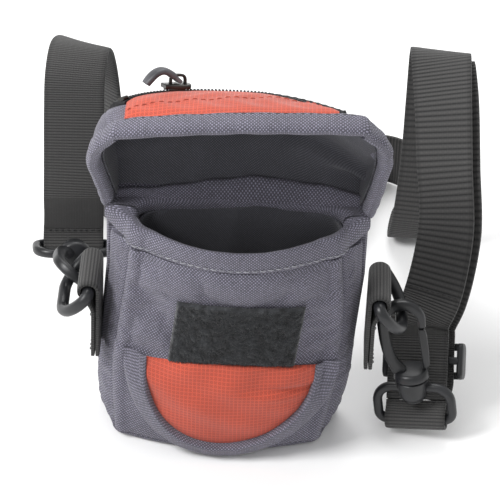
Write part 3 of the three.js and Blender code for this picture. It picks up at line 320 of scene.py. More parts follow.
@dataclass(frozen=True)
class WovenCloth(Finish):
    """A woven cloth with painted shade in the gaps between its threads and painted highlights on their
    crowns, brightest where the threads across lie on top.
    """

    thread: float = 0.00058
    relief: float = 0.25
    sheen: float = 0.15
    grid: float = 0.0

    BAR_SHARE: ClassVar[float] = 0.2
    BAR_STRENGTH: ClassVar[float] = 0.4
    BAR_LIGHT: ClassVar[float] = 1.22

    def dress(self, desk: Desk, shader: bpy.types.Node) -> None:
        """Paints shade into the low parts of the threads and highlights onto their crowns and crossings, with
        flecks of light and a soft variation.

        Args:
            desk: the material's desk.
            shader: its Principled BSDF.
        """
        where = self.ground(desk)
        threads = {"Vector": where, "Thread": self.thread}
        weave = desk.add("ShaderNodeGroup", threads, node_tree=PATTERNS.weave)
        mottle = self.mottle(desk)
        # painted highlight: threads across that lie on top are lit brighter than those along
        crossing_highlight = desk.remap(weave.outputs["Over"], 0, 1, 0.32, 1.0)
        # painted shade and highlight: thread height sets how lit each spot is, dark in the gaps and bright on
        # the crowns
        lit = desk.math("MULTIPLY", weave.outputs["Height"], crossing_highlight)
        lit = desk.math("MULTIPLY", lit, desk.remap(weave.outputs["Fleck"], 0, 1, 0.75, 1.15))
        colour = desk.blend(lit, from_srgb(*self.dark), from_srgb(*self.light))
        height = weave.outputs["Height"]
        if self.grid > 0:
            apart = desk.add("ShaderNodeSeparateXYZ", {0: where})
            lines = [desk.math("FRACT", desk.math("DIVIDE", apart.outputs[k], self.grid)) for k in (0, 1)]
            bars = [desk.math("LESS_THAN", line, self.BAR_SHARE) for line in lines]
            raised = desk.math("MULTIPLY", desk.math("MAXIMUM", bars[0], bars[1]), self.BAR_STRENGTH)
            bright = tuple(min(255.0, c * self.BAR_LIGHT) for c in self.light)
            colour = desk.blend(raised, colour, from_srgb(*bright))
            height = desk.math("ADD", height, raised)
        soft = desk.remap(mottle.outputs["Broad"], 0, 1, 0.88, 1.08)
        toned = desk.add("ShaderNodeHueSaturation", {"Value": soft, "Color": colour})
        desk.feed(shader.inputs["Base Color"], toned.outputs[0])
        rough = desk.remap(weave.outputs["Fleck"], 0, 1, self.roughness - 0.12, self.roughness + 0.08)
        desk.feed(shader.inputs["Roughness"], rough)
        desk.feed(shader.inputs["Sheen Weight"], self.sheen)
        desk.bump(shader, 0.7, self.relief, height)


@dataclass(frozen=True)
class Webbing(Finish):
    """A ribbed webbing, with cords across it, painted shade in the grooves between them and painted shade
    along both edges.
    """

    rib: float = 0.00098
    width: float = 0.021
    # width of the painted shade along each edge
    edge: float = 0.0018

    def dress(self, desk: Desk, shader: bpy.types.Node) -> None:
        """Colours the cords and their binding threads, with painted shade in the grooves and along both
        edges.

        Args:
            desk: the material's desk.
            shader: its Principled BSDF.
        """
        where = self.ground(desk)
        ribs = desk.add("ShaderNodeGroup", {"Vector": where, "Rib": self.rib}, node_tree=PATTERNS.ribs)
        # painted shade and highlight: the colour runs from dark between the cords to light on their tops
        lit = desk.math("POWER", ribs.outputs["Height"], 1.4)
        colour = desk.blend(lit, from_srgb(*self.dark), from_srgb(*self.light))
        apart = desk.add("ShaderNodeSeparateXYZ", {0: where})
        # painted shade: the colour darkens towards both edges of the webbing
        rim = desk.math("ABSOLUTE", desk.math("SUBTRACT", apart.outputs[0], self.width / 2))
        painted_edge_shade = desk.remap(rim, self.width / 2 - self.edge, self.width / 2 - self.edge * 0.6, 1.0, 0.72)
        toned = desk.add("ShaderNodeHueSaturation", {"Value": painted_edge_shade, "Color": colour})
        desk.feed(shader.inputs["Base Color"], toned.outputs[0])
        desk.bump(shader, 0.9, 0.28, ribs.outputs["Height"])
        desk.feed(shader.inputs["Sheen Weight"], 0.1)


@dataclass(frozen=True)
class Pile(Finish):
    """A dark matted pile with lint on it."""

    lint: Triple = (120.0, 120.0, 125.0)

    def dress(self, desk: Desk, shader: bpy.types.Node) -> None:
        """Mottles the pile and lays a little lint on it.

        Args:
            desk: the material's desk.
            shader: its Principled BSDF.
        """
        mottle = self.mottle(desk, Broad=420.0, Fine=2100.0)
        base = desk.blend(mottle.outputs["Broad"], from_srgb(*self.dark), from_srgb(*self.light))
        flecks = desk.math("MULTIPLY", mottle.outputs["Lint"], 0.35)
        desk.feed(shader.inputs["Base Color"], desk.blend(flecks, base, from_srgb(*self.lint)))
        desk.bump(shader, 1.0, 0.5, mottle.outputs["Broad"])
        desk.feed(shader.inputs["Sheen Weight"], 0.25)


@dataclass(frozen=True)
class Moulded(Finish):
    """Moulded plastic, rubber or enamelled metal with a fine grain and rubbed spots."""

    metallic: float = 0.0
    grain: float = 1400.0
    relief: float = 0.03

    def dress(self, desk: Desk, shader: bpy.types.Node) -> None:
        """Varies the colour and gloss over the surface.

        Args:
            desk: the material's desk.
            shader: its Principled BSDF.
        """
        mottle = self.mottle(desk, Broad=160.0)
        place = desk.add("ShaderNodeTexCoord").outputs["Object"]
        grain = desk.add("ShaderNodeTexNoise", {"Vector": place, "Scale": self.grain, "Detail": 2.0})
        colour = desk.blend(mottle.outputs["Broad"], from_srgb(*self.dark), from_srgb(*self.light))
        desk.feed(shader.inputs["Base Color"], colour)
        rough = desk.remap(mottle.outputs["Broad"], 0, 1, self.roughness - 0.07, self.roughness + 0.08)
        desk.feed(shader.inputs["Roughness"], rough)
        desk.feed(shader.inputs["Metallic"], self.metallic)
        desk.bump(shader, 0.5, self.relief, grain.outputs[0])


# In the woven cloths and the webbing, the dark colour is painted shade in the gaps between threads and cords,
# and the light colour is painted highlight on their tops.
GREY_CLOTH = WovenCloth("grey_nylon", "grey_cloth", (12, 12, 18), (147, 144, 162), thread=0.00059)
ORANGE_CLOTH = WovenCloth(
    "orange_ripstop", "orange_cloth", (158, 60, 43), (190, 80, 57), thread=0.00045, relief=0.1, sheen=0.2,
    grid=0.0014,
)
LINING_CLOTH = WovenCloth(
    "black_lining", "lining_cloth", (28, 28, 32), (96, 96, 105), thread=0.00045, relief=0.1,
)
LOOP_PILE = Pile("loop_pile", "pile_tape", (15, 16, 18), (55, 57, 60), roughness=0.95)
HOOK_PILE = Pile("hook_pile", "pile_tape", (18, 18, 20), (40, 40, 43), roughness=0.8)
STRAP_WEBBING = Webbing("strap_webbing", "webbing", (24, 24, 25), (66, 65, 64), roughness=0.75)
ZIP_TAPE_CLOTH = WovenCloth(
    "zip_tape_cloth", "webbing", (14, 14, 16), (42, 42, 45), thread=0.0005, relief=0.12,
)
BLACK_PLASTIC = Moulded("black_plastic", "plastic", (17, 18, 20), (32, 33, 36), roughness=0.38)
ZIP_COIL = Moulded("zip_coil_black", "zip_coil", (14, 14, 16), (34, 34, 37), roughness=0.5)
ZIP_METAL = Moulded("zip_metal_dark", "zip_metal", (34, 33, 33), (74, 72, 70), roughness=0.28, metallic=0.85)
PULL_RUBBER = Moulded("pull_grey", "pull_rubber", (56, 56, 60), (92, 92, 96), roughness=0.5)
HEM_THREAD = Moulded("hem_thread", "grey_cloth", (120, 120, 128), (168, 168, 173), roughness=0.7)
DARK_THREAD = Moulded("dark_thread", "webbing", (30, 30, 31), (60, 60, 62), roughness=0.7)
ORANGE_THREAD = Moulded("orange_thread", "orange_cloth", (150, 62, 48), (190, 88, 68), roughness=0.7)


# Meshes


def faces_between(rows: int, columns: int, start: int = 0, loop_rows: bool = False,
                  loop_columns: bool = False, flip: bool = False) -> list[tuple[int, ...]]:
    """The quads of a grid of vertices.

    Args:
        rows: vertices down the grid.
        columns: vertices across it.
        start: the number of the first vertex.
        loop_rows: whether the last row joins the first.
        loop_columns: whether the last column joins the first.
        flip: whether the faces turn over.

    Returns:
        The corner numbers of each quad.
    """
    faces = []
    for i in range(rows if loop_rows else rows - 1):
        for j in range(columns if loop_columns else columns - 1):
            k, m = (i + 1) % rows, (j + 1) % columns
            face = tuple(start + row * columns + column for row, column in ((i, j), (i, m), (k, m), (k, j)))
            faces.append(face[::-1] if flip else face)
    return faces


def rod_faces(count: int, sides: int, endless: bool = False) -> list[tuple[int, ...]]:
    """The faces over rings of points, with a cap at both ends unless the rod is endless.

    Args:
        count: how many rings there are.
        sides: points of a ring.
        endless: whether the last ring joins the first.

    Returns:
        The faces.
    """
    faces = faces_between(count, sides, loop_rows=endless, loop_columns=True)
    if not endless:
        faces.append(tuple(range(sides - 1, -1, -1)))
        faces.append(tuple((count - 1) * sides + k for k in range(sides)))
    return faces


def enclosed(points: np.ndarray, faces: Sequence[Sequence[int]]) -> float:
    """The volume inside a closed mesh, negative where its faces point inwards.

    Args:
        points: its points.
        faces: its faces, as numbers of points.

    Returns:
        The volume.
    """
    total = 0.0
    for face in faces:
        first = points[face[0]]
        for second, third in zip(face[1:-1], face[2:]):
            total += float(np.dot(first, np.cross(points[second], points[third])))
    return total / 6


def new_piece(name: str, points: np.ndarray, faces: Sequence[Sequence[int]], finish: Finish,
              cloth: np.ndarray | None = None, sharp_degrees: float = 50.0) -> Piece:
    """Makes one object from points in millimetres.

    Args:
        name: the object's name.
        points: its vertices.
        faces: its faces; they are turned over together if they point inwards.
        finish: its finish.
        cloth: flat coordinates of each vertex, in millimetres, for the weave.
        sharp_degrees: edges sharper than this stay crisp.

    Returns:
        The new object, with its place in its mesh.
    """
    if enclosed(points, faces) < 0:
        faces = [tuple(reversed(face)) for face in faces]
    mesh = bpy.data.meshes.new(name)
    mesh.from_pydata((points * MM).tolist(), [], [list(face) for face in faces])
    mesh.polygons.foreach_set("use_smooth", [True] * len(mesh.polygons))
    if cloth is not None:
        mesh.uv_layers.new(name="cloth")
        write_cloth(mesh, cloth * MM)
    mesh.update()
    mesh.set_sharp_from_angle(angle=math.radians(sharp_degrees))
    mesh.materials.append(finish.material())
    return linked(name, mesh)


def linked(name: str, data: bpy.types.ID) -> Piece:
    """A new object of the scene."""
    piece = bpy.data.objects.new(name, data)
    bpy.context.scene.collection.objects.link(piece)
    return piece


def write_cloth(mesh: bpy.types.Mesh, flat: np.ndarray) -> None:
    """Writes the flat coordinates that the weave follows, in metres for each vertex."""
    corners = np.empty(len(mesh.loops), dtype=np.int32)
    mesh.loops.foreach_get("vertex_index", corners)
    mesh.uv_layers["cloth"].data.foreach_set("uv", flat[corners].ravel())


def lay_flat(piece: Piece, up: Sequence[float]) -> None:
    """Lays a piece's weave flat, with the threads along X and along a direction up."""
    points = np.empty(len(piece.data.vertices) * 3)
    piece.data.vertices.foreach_get("co", points)
    points = points.reshape(-1, 3)
    write_cloth(piece.data, np.stack([points[:, 0], points @ np.array(up)], 1))


def shell_piece(name: str, outer: Grid, inner: Grid, finish: Finish) -> Piece:
    """Closes an outer and an inner surface into one sheet.

    Args:
        name: the object's name.
        outer: rows by columns of points on the outer face.
        inner: as many points on the inner face.
        finish: the finish.

    Returns:
        The new object.
    """
    rows, columns = outer.shape[:2]
    count = rows * columns
    points = np.concatenate([outer.reshape(-1, 3), inner.reshape(-1, 3)])
    faces = faces_between(rows, columns) + faces_between(rows, columns, start=count, flip=True)
    border = [(0, j) for j in range(columns)] + [(i, columns - 1) for i in range(1, rows)]
    border += [(rows - 1, j) for j in range(columns - 2, -1, -1)] + [(i, 0) for i in range(rows - 2, 0, -1)]
    ring = [i * columns + j for i, j in border]
    for a, b in zip(ring, ring[1:] + ring[:1]):
        faces.append((b, a, a + count, b + count))
    flat = np.stack([measured(outer, 1).ravel(), measured(outer, 0).ravel()], 1)
    return new_piece(name, points, faces, finish, np.concatenate([flat, flat]))


def walked(points: np.ndarray, axis: int = 0) -> np.ndarray:
    """Distances from the start of lines of points."""
    steps = np.cumsum(np.linalg.norm(np.diff(points, axis=axis), axis=-1), axis=axis)
    return np.concatenate([np.zeros_like(np.take(steps, [0], axis)), steps], axis)


def line_length(points: np.ndarray) -> float:
    """The length of a line of points."""
    return float(np.linalg.norm(np.diff(points, axis=0), axis=1).sum())


def measured(grid: Grid, axis: int) -> np.ndarray:
    """Distances along the rows or the columns of a grid of points, from its middle."""
    runs = walked(grid, axis)
    return runs - np.take(runs, [runs.shape[axis] // 2], axis)


def rod_piece(name: str, rings: Grid, finish: Finish, endless: bool = False) -> Piece:
    """Skins rings of points, capped at both ends or joined end to end.

    Args:
        name: the object's name.
        rings: rings by points of a ring.
        finish: the finish.
        endless: whether the last ring joins the first.

    Returns:
        The new object.
    """
    faces = rod_faces(*rings.shape[:2], endless)
    along, around = np.meshgrid(measured(rings, 0).mean(1), measured(rings, 1).mean(0), indexing="ij")
    return new_piece(name, rings.reshape(-1, 3), faces, finish, np.stack([around.ravel(), along.ravel()], 1))


def sweep(path: Grid, across: Grid, section: np.ndarray | Callable[[float], np.ndarray],
          endless: bool = False) -> Grid:
    """Carries a flat section along a path.

    Args:
        path: points of the path.
        across: the section's first direction, one for all points or one at each.
        section: the section's points, as (first, second) pairs, or a function that gives them at a
            share of the path.
        endless: whether the path is closed.

    Returns:
        A ring of points for each point of the path.
    """
    count = len(path)
    across = np.broadcast_to(across, path.shape)
    before = np.roll(path, 1, 0) if endless else np.concatenate([path[:1], path[:-1]])
    after = np.roll(path, -1, 0) if endless else np.concatenate([path[1:], path[-1:]])
    along = unit(after - before)
    first = unit(across - along * np.sum(across * along, 1, keepdims=True))
    second = np.cross(first, along)
    rings = []
    for i in range(count):
        shape = section(i / max(count - 1, 1)) if callable(section) else section
        rings.append(path[i] + shape[:, :1] * first[i] + shape[:, 1:] * second[i])
    return np.array(rings)


def unit(vectors: np.ndarray) -> np.ndarray:
    """Vectors at length one."""
    return vectors / np.maximum(np.linalg.norm(vectors, axis=-1, keepdims=True), 1e-9)


def ellipse(half_width: float, half_height: float, sides: int = 16, square: float = 2.0) -> np.ndarray:
    """A rounded section; a higher square makes it more like a box.

    Args:
        half_width: half its width.
        half_height: half its height.
        sides: its number of points.
        square: the power of its curve; 2 is an ellipse.

    Returns:
        Its points, across and up.
    """
    turn = np.linspace(0, 2 * math.pi, sides, endpoint=False) + math.pi / sides
    cosine, sine = np.cos(turn), np.sin(turn)
    power = 2.0 / square
    x = half_width * np.sign(cosine) * np.abs(cosine) ** power
    y = half_height * np.sign(sine) * np.abs(sine) ** power
    return np.stack([x, y], 1)


def arc_points(centre: tuple[float, float], radius: float, degrees: tuple[float, float],
               count: int) -> list[tuple[float, float]]:
    """Points of an arc between two angles."""
    angles = np.radians(np.linspace(*degrees, count))
    return [(centre[0] + radius * math.cos(a), centre[1] + radius * math.sin(a)) for a in angles]


def bezier(ends: np.ndarray, count: int) -> np.ndarray:
    """Points of a cubic curve over its four control points."""
    t = np.linspace(0, 1, count)[:, None]
    low, high = (1 - t) ** 3 * ends[0], t ** 3 * ends[3]
    return low + 3 * (1 - t) ** 2 * t * ends[1] + 3 * (1 - t) * t ** 2 * ends[2] + high


def smooth_route(knots: np.ndarray, steps: int) -> np.ndarray:
    """A centripetal curve through its knots, as the frame's straps follow.

    Args:
        knots: the points passed, a row each.
        steps: points to return, less one.

    Returns:
        Points at even shares of the knots.
    """
    ends = np.concatenate([[2 * knots[0] - knots[1]], knots, [2 * knots[-1] - knots[-2]]])
    result = []
    spans = len(knots) - 1
    for i in range(steps + 1):
        place = i / steps * spans
        span = min(int(place), spans - 1)
        t = place - span
        p0, p1, p2, p3 = ends[span:span + 4]
        d0, d1, d2 = (np.linalg.norm(b - a) ** 0.5 for a, b in ((p0, p1), (p1, p2), (p2, p3)))
        d1 = d1 if d1 > 1e-4 else 1.0
        d0 = d0 if d0 > 1e-4 else d1
        d2 = d2 if d2 > 1e-4 else d1
        t1 = ((p1 - p0) / d0 - (p2 - p0) / (d0 + d1) + (p2 - p1) / d1) * d1
        t2 = ((p2 - p1) / d1 - (p3 - p1) / (d1 + d2) + (p3 - p2) / d2) * d1
        c2 = -3 * p1 + 3 * p2 - 2 * t1 - t2
        c3 = 2 * p1 - 2 * p2 + t1 + t2
        result.append(p1 + t1 * t + c2 * t ** 2 + c3 * t ** 3)
    return np.array(result)


def evenly(line: np.ndarray, count: int) -> np.ndarray:
    """Points at even distances along a line of points."""
    runs = walked(line)
    wanted = np.linspace(0, runs[-1], count)
    return np.stack([np.interp(wanted, runs, line[:, k]) for k in range(line.shape[1])], 1)


def rounded_edge(distance: Grid, radius: float) -> Grid:
    """How far a padded edge draws in, from 1 at its border to 0 at a radius inside it."""
    share = np.clip(1 - distance / radius, 0, 1)
    return 1 - np.sqrt(1 - share ** 2)


def drawn_in(side: Grid, end: Grid, ease: float = 0.4) -> Grid:
    """How far a padded panel draws in at distances from its sides and its ends."""
    return 0.9 * rounded_edge(np.minimum(side, end + ease), 1.8)


def together(*values: Grid | float) -> Sequence[Grid]:
    """Values spread to one shared shape."""
    return np.broadcast_arrays(*(np.asarray(value, float) for value in values))


def from_table(places: Grid, table: Sequence[tuple[float, float]]) -> Grid:
    """Values at some places, between the (place, value) pairs of a table."""
    known, values = zip(*table)
    return np.interp(places, known, values)


def bump_at(x: Grid, z: Grid, at: tuple[float, float], reach: tuple[float, float],
            turn_degrees: float = 0.0) -> Grid:
    """A soft hump of height one about a place, stretched and turned.

    Args:
        x: places across.
        z: places up.
        at: the hump's middle.
        reach: how far it reaches along each of its axes.
        turn_degrees: the turn of its axes.

    Returns:
        Its height at each place.
    """
    turn = math.radians(turn_degrees)
    dx, dz = x - at[0], z - at[1]
    first = dx * math.cos(turn) + dz * math.sin(turn)
    second = dz * math.cos(turn) - dx * math.sin(turn)
    return np.exp(-((first / reach[0]) ** 2) - (second / reach[1]) ** 2)


def relaxed(grid: Grid, held: np.ndarray, swell: float) -> Grid:
    """Lets a sewn cloth settle, with Blender's cloth simulation.

    Args:
        grid: points of the cloth's outer face.
        held: the points that a seam or a sewn-on piece holds.
        swell: how much more cloth there is than the seams take up, as a share.

    Returns:
        The settled points.
    """
    rows, columns = grid.shape[:2]
    mesh = bpy.data.meshes.new("cloth_trial")
    faces = faces_between(rows, columns)
    mesh.from_pydata((grid.reshape(-1, 3) * CLOTH_SCALE).tolist(), [], faces)
    trial = linked("cloth_trial", mesh)
    pins = trial.vertex_groups.new(name="seams")
    pins.add([int(k) for k in np.flatnonzero(held.ravel())], 1.0, "REPLACE")
    cloth = trial.modifiers.new("cloth", "CLOTH")
    cloth.settings.quality = 5
    cloth.settings.mass = 0.2
    cloth.settings.bending_stiffness = 0.6
    cloth.settings.vertex_group_mass = pins.name
    cloth.settings.shrink_min = -swell
    cloth.settings.use_pressure = True
    cloth.settings.uniform_pressure_force = CLOTH_PRESSURE
    cloth.settings.effector_weights.gravity = 0.1
    cloth.point_cache.frame_end = CLOTH_FRAMES
    for frame_number in range(1, CLOTH_FRAMES + 1):
        bpy.context.scene.frame_set(frame_number)
    graph = bpy.context.evaluated_depsgraph_get()
    done = trial.evaluated_get(graph).data
    flat = np.empty(len(done.vertices) * 3)
    done.vertices.foreach_get("co", flat)
    bpy.data.objects.remove(trial, do_unlink=True)
    bpy.context.scene.frame_set(1)
    moved = flat.reshape(rows, columns, 3) / CLOTH_SCALE - grid
    size = np.linalg.norm(moved, axis=-1, keepdims=True)
    moved = moved * np.tanh(size / CLOTH_MOVE) * CLOTH_MOVE / np.maximum(size, 1e-9)
    log.info("cloth settled: %d points, at most %.2f mm", rows * columns, float(size.max()))
    return grid + moved


def settle(piece: Piece, body: Body, finish: Finish, *nodes: str) -> Piece:
    """Declares a finished piece to the frame.

    Args:
        piece: the piece, in place.
        body: the body that it rides on.
        finish: not used.
        nodes: the CAD nodes that it stands for.

    Returns:
        The same piece.
    """
    if nodes:
        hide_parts(*nodes)
    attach(piece, body.value)
    log.info("%s rides on %s", piece.name, body.value)
    return piece


# Geometry Nodes


class CopyTree:
    """A Geometry Nodes tree that sets copies of a small piece on points of a carrier."""

    def __init__(self, name: str, measure: str) -> None:
        """Makes the tree with its named inputs: Geometry, Piece, one measure and Finish.

        Args:
            name: the tree's name.
            measure: the name of the input that says how close the copies stand.
        """
        self.tree = bpy.data.node_groups.new(name, "GeometryNodeTree")
        kinds = {"Geometry": "Geometry", "Piece": "Object", measure: "Float", "Finish": "Material"}
        self.identifiers = [
            self.tree.interface.new_socket(label, in_out="INPUT", socket_type=f"NodeSocket{kind}").identifier
            for label, kind in kinds.items()
        ]
        self.tree.interface.new_socket("Geometry", in_out="OUTPUT", socket_type="NodeSocketGeometry")
        self.desk = Desk(self.tree)
        self.start, self.end = self.desk.add("NodeGroupInput"), self.desk.add("NodeGroupOutput")

    def copies(self, points: Socket, rotation: Socket) -> Socket:
        """Instances of the small piece at some points, each with its rotation."""
        given = {0: self.start.outputs["Piece"]}
        seed = self.desk.add("GeometryNodeObjectInfo", given, transform_space="ORIGINAL")
        placed = {"Points": points, "Instance": seed.outputs["Geometry"], "Rotation": rotation}
        return self.desk.add("GeometryNodeInstanceOnPoints", placed).outputs[0]

    def send(self, instances: Socket) -> None:
        """Makes the instances real, gives them their finish and sends them out."""
        real = self.desk.add("GeometryNodeRealizeInstances", {0: instances}).outputs[0]
        dress = {"Geometry": real, "Material": self.start.outputs["Finish"]}
        self.desk.feed(self.end.inputs[0], self.desk.add("GeometryNodeSetMaterial", dress).outputs[0])

    def bake(self, name: str, carrier: Piece, seed: Piece, measure: float, finish: Finish) -> Piece:
        """Runs the tree once and removes the carrier and the seed.

        Args:
            name: the new object's name.
            carrier: the object whose geometry takes the copies.
            seed: the small piece.
            measure: the value of the tree's measure.
            finish: the copies' finish.

        Returns:
            One plain mesh object with every copy.
        """
        modifier = carrier.modifiers.new(self.tree.name, "NODES")
        modifier.node_group = self.tree
        for identifier, value in zip(self.identifiers[1:], (seed, measure, finish.material())):
            modifier[identifier] = value
        bpy.context.view_layer.update()
        graph = bpy.context.evaluated_depsgraph_get()
        mesh = bpy.data.meshes.new_from_object(carrier.evaluated_get(graph), depsgraph=graph)
        mesh.name = name
        if not mesh.materials:
            mesh.materials.append(finish.material())
        for used in (carrier, seed):
            bpy.data.objects.remove(used, do_unlink=True)
        return linked(name, mesh)


class StitchTree(CopyTree):
    """Sets copies along lines, turned to the cloth."""

    def __init__(self) -> None:
        """Builds the tree, whose measure is the spacing."""
        super().__init__("set_along_line", "Spacing")
        desk, given = self.desk, self.start.outputs
        curve = desk.add("GeometryNodeMeshToCurve", {0: given["Geometry"]}).outputs[0]
        spaced = {"Curve": curve, "Length": given["Spacing"]}
        even = desk.add("GeometryNodeResampleCurve", spaced, mode="LENGTH")
        lift = desk.add("GeometryNodeInputNamedAttribute", {"Name": "lift"}, data_type="FLOAT_VECTOR")
        turned = desk.add("FunctionNodeAxesToRotation", primary_axis="Z", secondary_axis="X")
        desk.feed(turned.inputs[0], lift.outputs[0])
        desk.feed(turned.inputs[1], desk.add("GeometryNodeInputTangent").outputs[0])
        self.send(self.copies(even.outputs[0], turned.outputs[0]))

    def run(self, name: str, lines: Sequence[tuple[Grid, Grid]], seed: Piece, spacing: float,
            finish: Finish) -> Piece:
        """Sets copies along some lines.

        Args:
            name: the new object's name.
            lines: for each line its points and, at each, the direction out of the cloth.
            seed: the small piece, about its own origin, with X along the line and Z out.
            spacing: the distance between copies.
            finish: the copies' finish.

        Returns:
            One plain mesh object with every copy.
        """
        points = np.concatenate([line for line, _ in lines])
        lifts = np.concatenate([lift for _, lift in lines])
        edges, first = [], 0
        for line, _ in lines:
            edges += [(first + k, first + k + 1) for k in range(len(line) - 1)]
            first += len(line)
        mesh = bpy.data.meshes.new(name)
        mesh.from_pydata((points * MM).tolist(), edges, [])
        mesh.attributes.new("lift", "FLOAT_VECTOR", "POINT").data.foreach_set("vector", lifts.ravel())
        return self.bake(name, linked(f"{name}_lines", mesh), seed, spacing * MM, finish)


class ScatterTree(CopyTree):
    """Scatters copies over a surface, each tilted a little."""

    SEED, TILT = 7, 0.7

    def __init__(self) -> None:
        """Builds the tree, whose measure is the density, with a fixed seed."""
        super().__init__("scatter_over", "Density")
        desk, given = self.desk, self.start.outputs
        where = {"Mesh": given["Geometry"], "Seed": self.SEED, "Density": given["Density"]}
        spread = desk.add("GeometryNodeDistributePointsOnFaces", where).outputs
        most = (self.TILT, self.TILT, math.pi)
        range_of_tilt = {0: tuple(-angle for angle in most), 1: most, "Seed": self.SEED + 1}
        tilt = desk.add("FunctionNodeRandomValue", range_of_tilt, data_type="FLOAT_VECTOR")
        copies = {"Instances": self.copies(spread["Points"], spread["Rotation"]), "Rotation": tilt.outputs[0]}
        self.send(desk.add("GeometryNodeRotateInstances", copies).outputs[0])


def seed_piece(name: str, rings: Grid, finish: Finish) -> Piece:
    """A small piece over rings of points, to be copied."""
    return new_piece(name, rings.reshape(-1, 3), rod_faces(*rings.shape[:2]), finish, sharp_degrees=80.0)


def stitch_seed(length: float, radius: float, finish: Finish) -> Piece:
    """One stitch: a short thread that dives into the cloth at both ends.

    Args:
        length: the stitch's length.
        radius: the thread's radius.
        finish: the thread's finish.

    Returns:
        The seed object.
    """
    path = [[length * t, 0, radius * (0.9 - 3.2 * (2 * abs(t)) ** 4)] for t in (-0.5, -0.3, 0, 0.3, 0.5)]
    return seed_piece("stitch_seed", sweep(np.array(path), Y_AXIS, ellipse(radius, radius, 6)), finish)


# Sub-assemblies


@dataclass(frozen=True)
class BodyShape:
    """The padded body's outline, which its panels, hems, lining and pocket share."""

    base_front: float = 35.9
    belly_front: float = 39.5
    rim_front: float = 35.5
    base_rear: float = 41.2
    belly_rear: float = 43.8
    rim_rear: float = 43.5
    front_y: float = -8.0
    base_bow: float = 4.5
    belly_bow: float = 7.0
    rim_bow: float = 11.0
    base_rear_y: float = 14.0
    belly_rear_y: float = 17.0
    rim_rear_y: float = 8.7
    belly_height: float = 35.0
    corner: float = 6.5
    base_edge: float = 2.4
    front_height: float = 89.5
    rear_height: float = 92.7
    front_hem: float = 8.5
    rear_hem: float = 6.5
    hem_proud: float = 0.5
    fabric: float = 2.8
    base_thickness: float = 3.0
    gap: float = 0.3
    lean_left: float = 4.2
    lean_height: float = 62.0
    push_out: float = 2.4
    push_height: float = 24.0
    push_reach: float = 26.0
    push_half: float = 40.0
    foot_corner: float = 0.62
    least_corner: float = 1.6
    mouth_ease: float = 1.2
    front_seam: float = 1.749
    rear_seam: float = 3.0
    mouth_line: tuple[Triple, ...] = (
        (0.0, 0.0, -16.3), (0.3, 8.7, -15.6), (0.6, 17.2, -13.1), (0.85, 23.6, -9.6), (1.1, 28.0, -6.3),
        (1.5, 31.2, -3.7), (2.0, 33.0, -1.4), (2.5, 33.9, 0.5), (3.0, 33.7, 2.4), (3.3, 32.9, 3.8),
        (3.6, 31.2, 4.9), (4.0, 28.3, 5.6), (4.5, 15.0, 6.0), (5.0, 0.0, 6.2),
    )

    def grown(self, z: Grid, base: float, belly: float, rim: float) -> Grid:
        """A size that grows from the base to the belly and draws in again to the rim."""
        low = base + (belly - base) * np.sin(math.pi / 2 * np.clip(z / self.belly_height, 0, 1))
        rise = np.clip((z - self.belly_height) / (self.rear_height - self.belly_height), 0, 1.2)
        high = belly + (rim - belly) * (1 - np.cos(math.pi / 2 * rise))
        return np.where(z < self.belly_height, low, high)

    def front_face(self, x: Grid, z: Grid, outwards: Grid | float = 0.0) -> Grid:
        """Y of the front face at a place across and up it."""
        flat = self.grown(z, self.base_front, self.belly_front, self.rim_front) - self.corner
        reach = (x - self.lean(z)) / flat
        bow = self.grown(z, self.base_bow, self.belly_bow, self.rim_bow)
        return self.front_y - bow * np.maximum(0, 1 - reach ** 2) - self.belly_push(x, z) - outwards

    def lean(self, z: Grid) -> Grid:
        """How far the soft body leans to the left at a height, most at its foot."""
        return -self.lean_left * np.clip(1 - z / self.lean_height, 0, 1)

    def belly_push(self, x: Grid, z: Grid) -> Grid:
        """How far the padding bulges forward at a place of the front."""
        height = np.exp(-(((z - self.push_height) / self.push_reach) ** 2))
        return self.push_out * height * np.clip(1 - (x / self.push_half) ** 4, 0, 1)

    def around(self, turn: Grid, z: Grid, inset: Grid | float = 0.0) -> Grid:
        """Points of the wall.

        Args:
            turn: place round the body: 0 at the middle of the front, 1 and 2 at the ends of the front
                corner, 3 and 4 at those of the rear corner, 5 at the middle of the rear; negative on
                the left.
            z: heights.
            inset: how far inside the outer face each point lies.

        Returns:
            The points, one for each turn and height.
        """
        turn, z, inset = together(turn, z, inset)
        edge, depth = self.base_edge, np.clip(z, 0, self.base_edge)
        rounding = np.where((z < edge) & (inset <= 0.6), edge - np.sqrt(depth * (2 * edge - depth)), 0)
        out = -inset - rounding
        grown_corner = self.foot_corner + (1 - self.foot_corner) * np.clip(z / 26, 0, 1)
        radius = np.maximum(self.corner * grown_corner + out, self.least_corner)
        front = self.grown(z, self.base_front, self.belly_front, self.rim_front) + out
        rear = self.grown(z, self.base_rear, self.belly_rear, self.rim_rear) + out
        near = self.front_y - out
        far = self.grown(z, self.base_rear_y, self.belly_rear_y, self.rim_rear_y) + out
        bow = self.grown(z, self.base_bow, self.belly_bow, self.rim_bow)
        a = np.abs(turn)
        first, second = np.pi / 2 * (a - 2), np.pi / 2 * (a - 3)
        side = np.clip(a - 2, 0, 1)
        x = np.select(
            [a < 1, a < 2, a < 3, a < 4],
            [a * (front - radius), front - radius + radius * np.cos(first), front + (rear - front) * side,
             rear - radius + radius * np.cos(second)],
            (rear - radius) * (5 - a),
        )
        y = np.select(
            [a < 1, a < 2, a < 3, a < 4],
            [near - bow * (1 - a ** 2), near + radius + radius * np.sin(first),
             near + radius + (far - near - 2 * radius) * side, far - radius + radius * np.sin(second)],
            far,
        )
        y = y - self.belly_push(x, z) * np.clip(1.6 - a, 0, 1) * (inset < self.fabric - 0.1)
        return np.stack([np.sign(turn) * x + self.lean(z), y, z], -1)

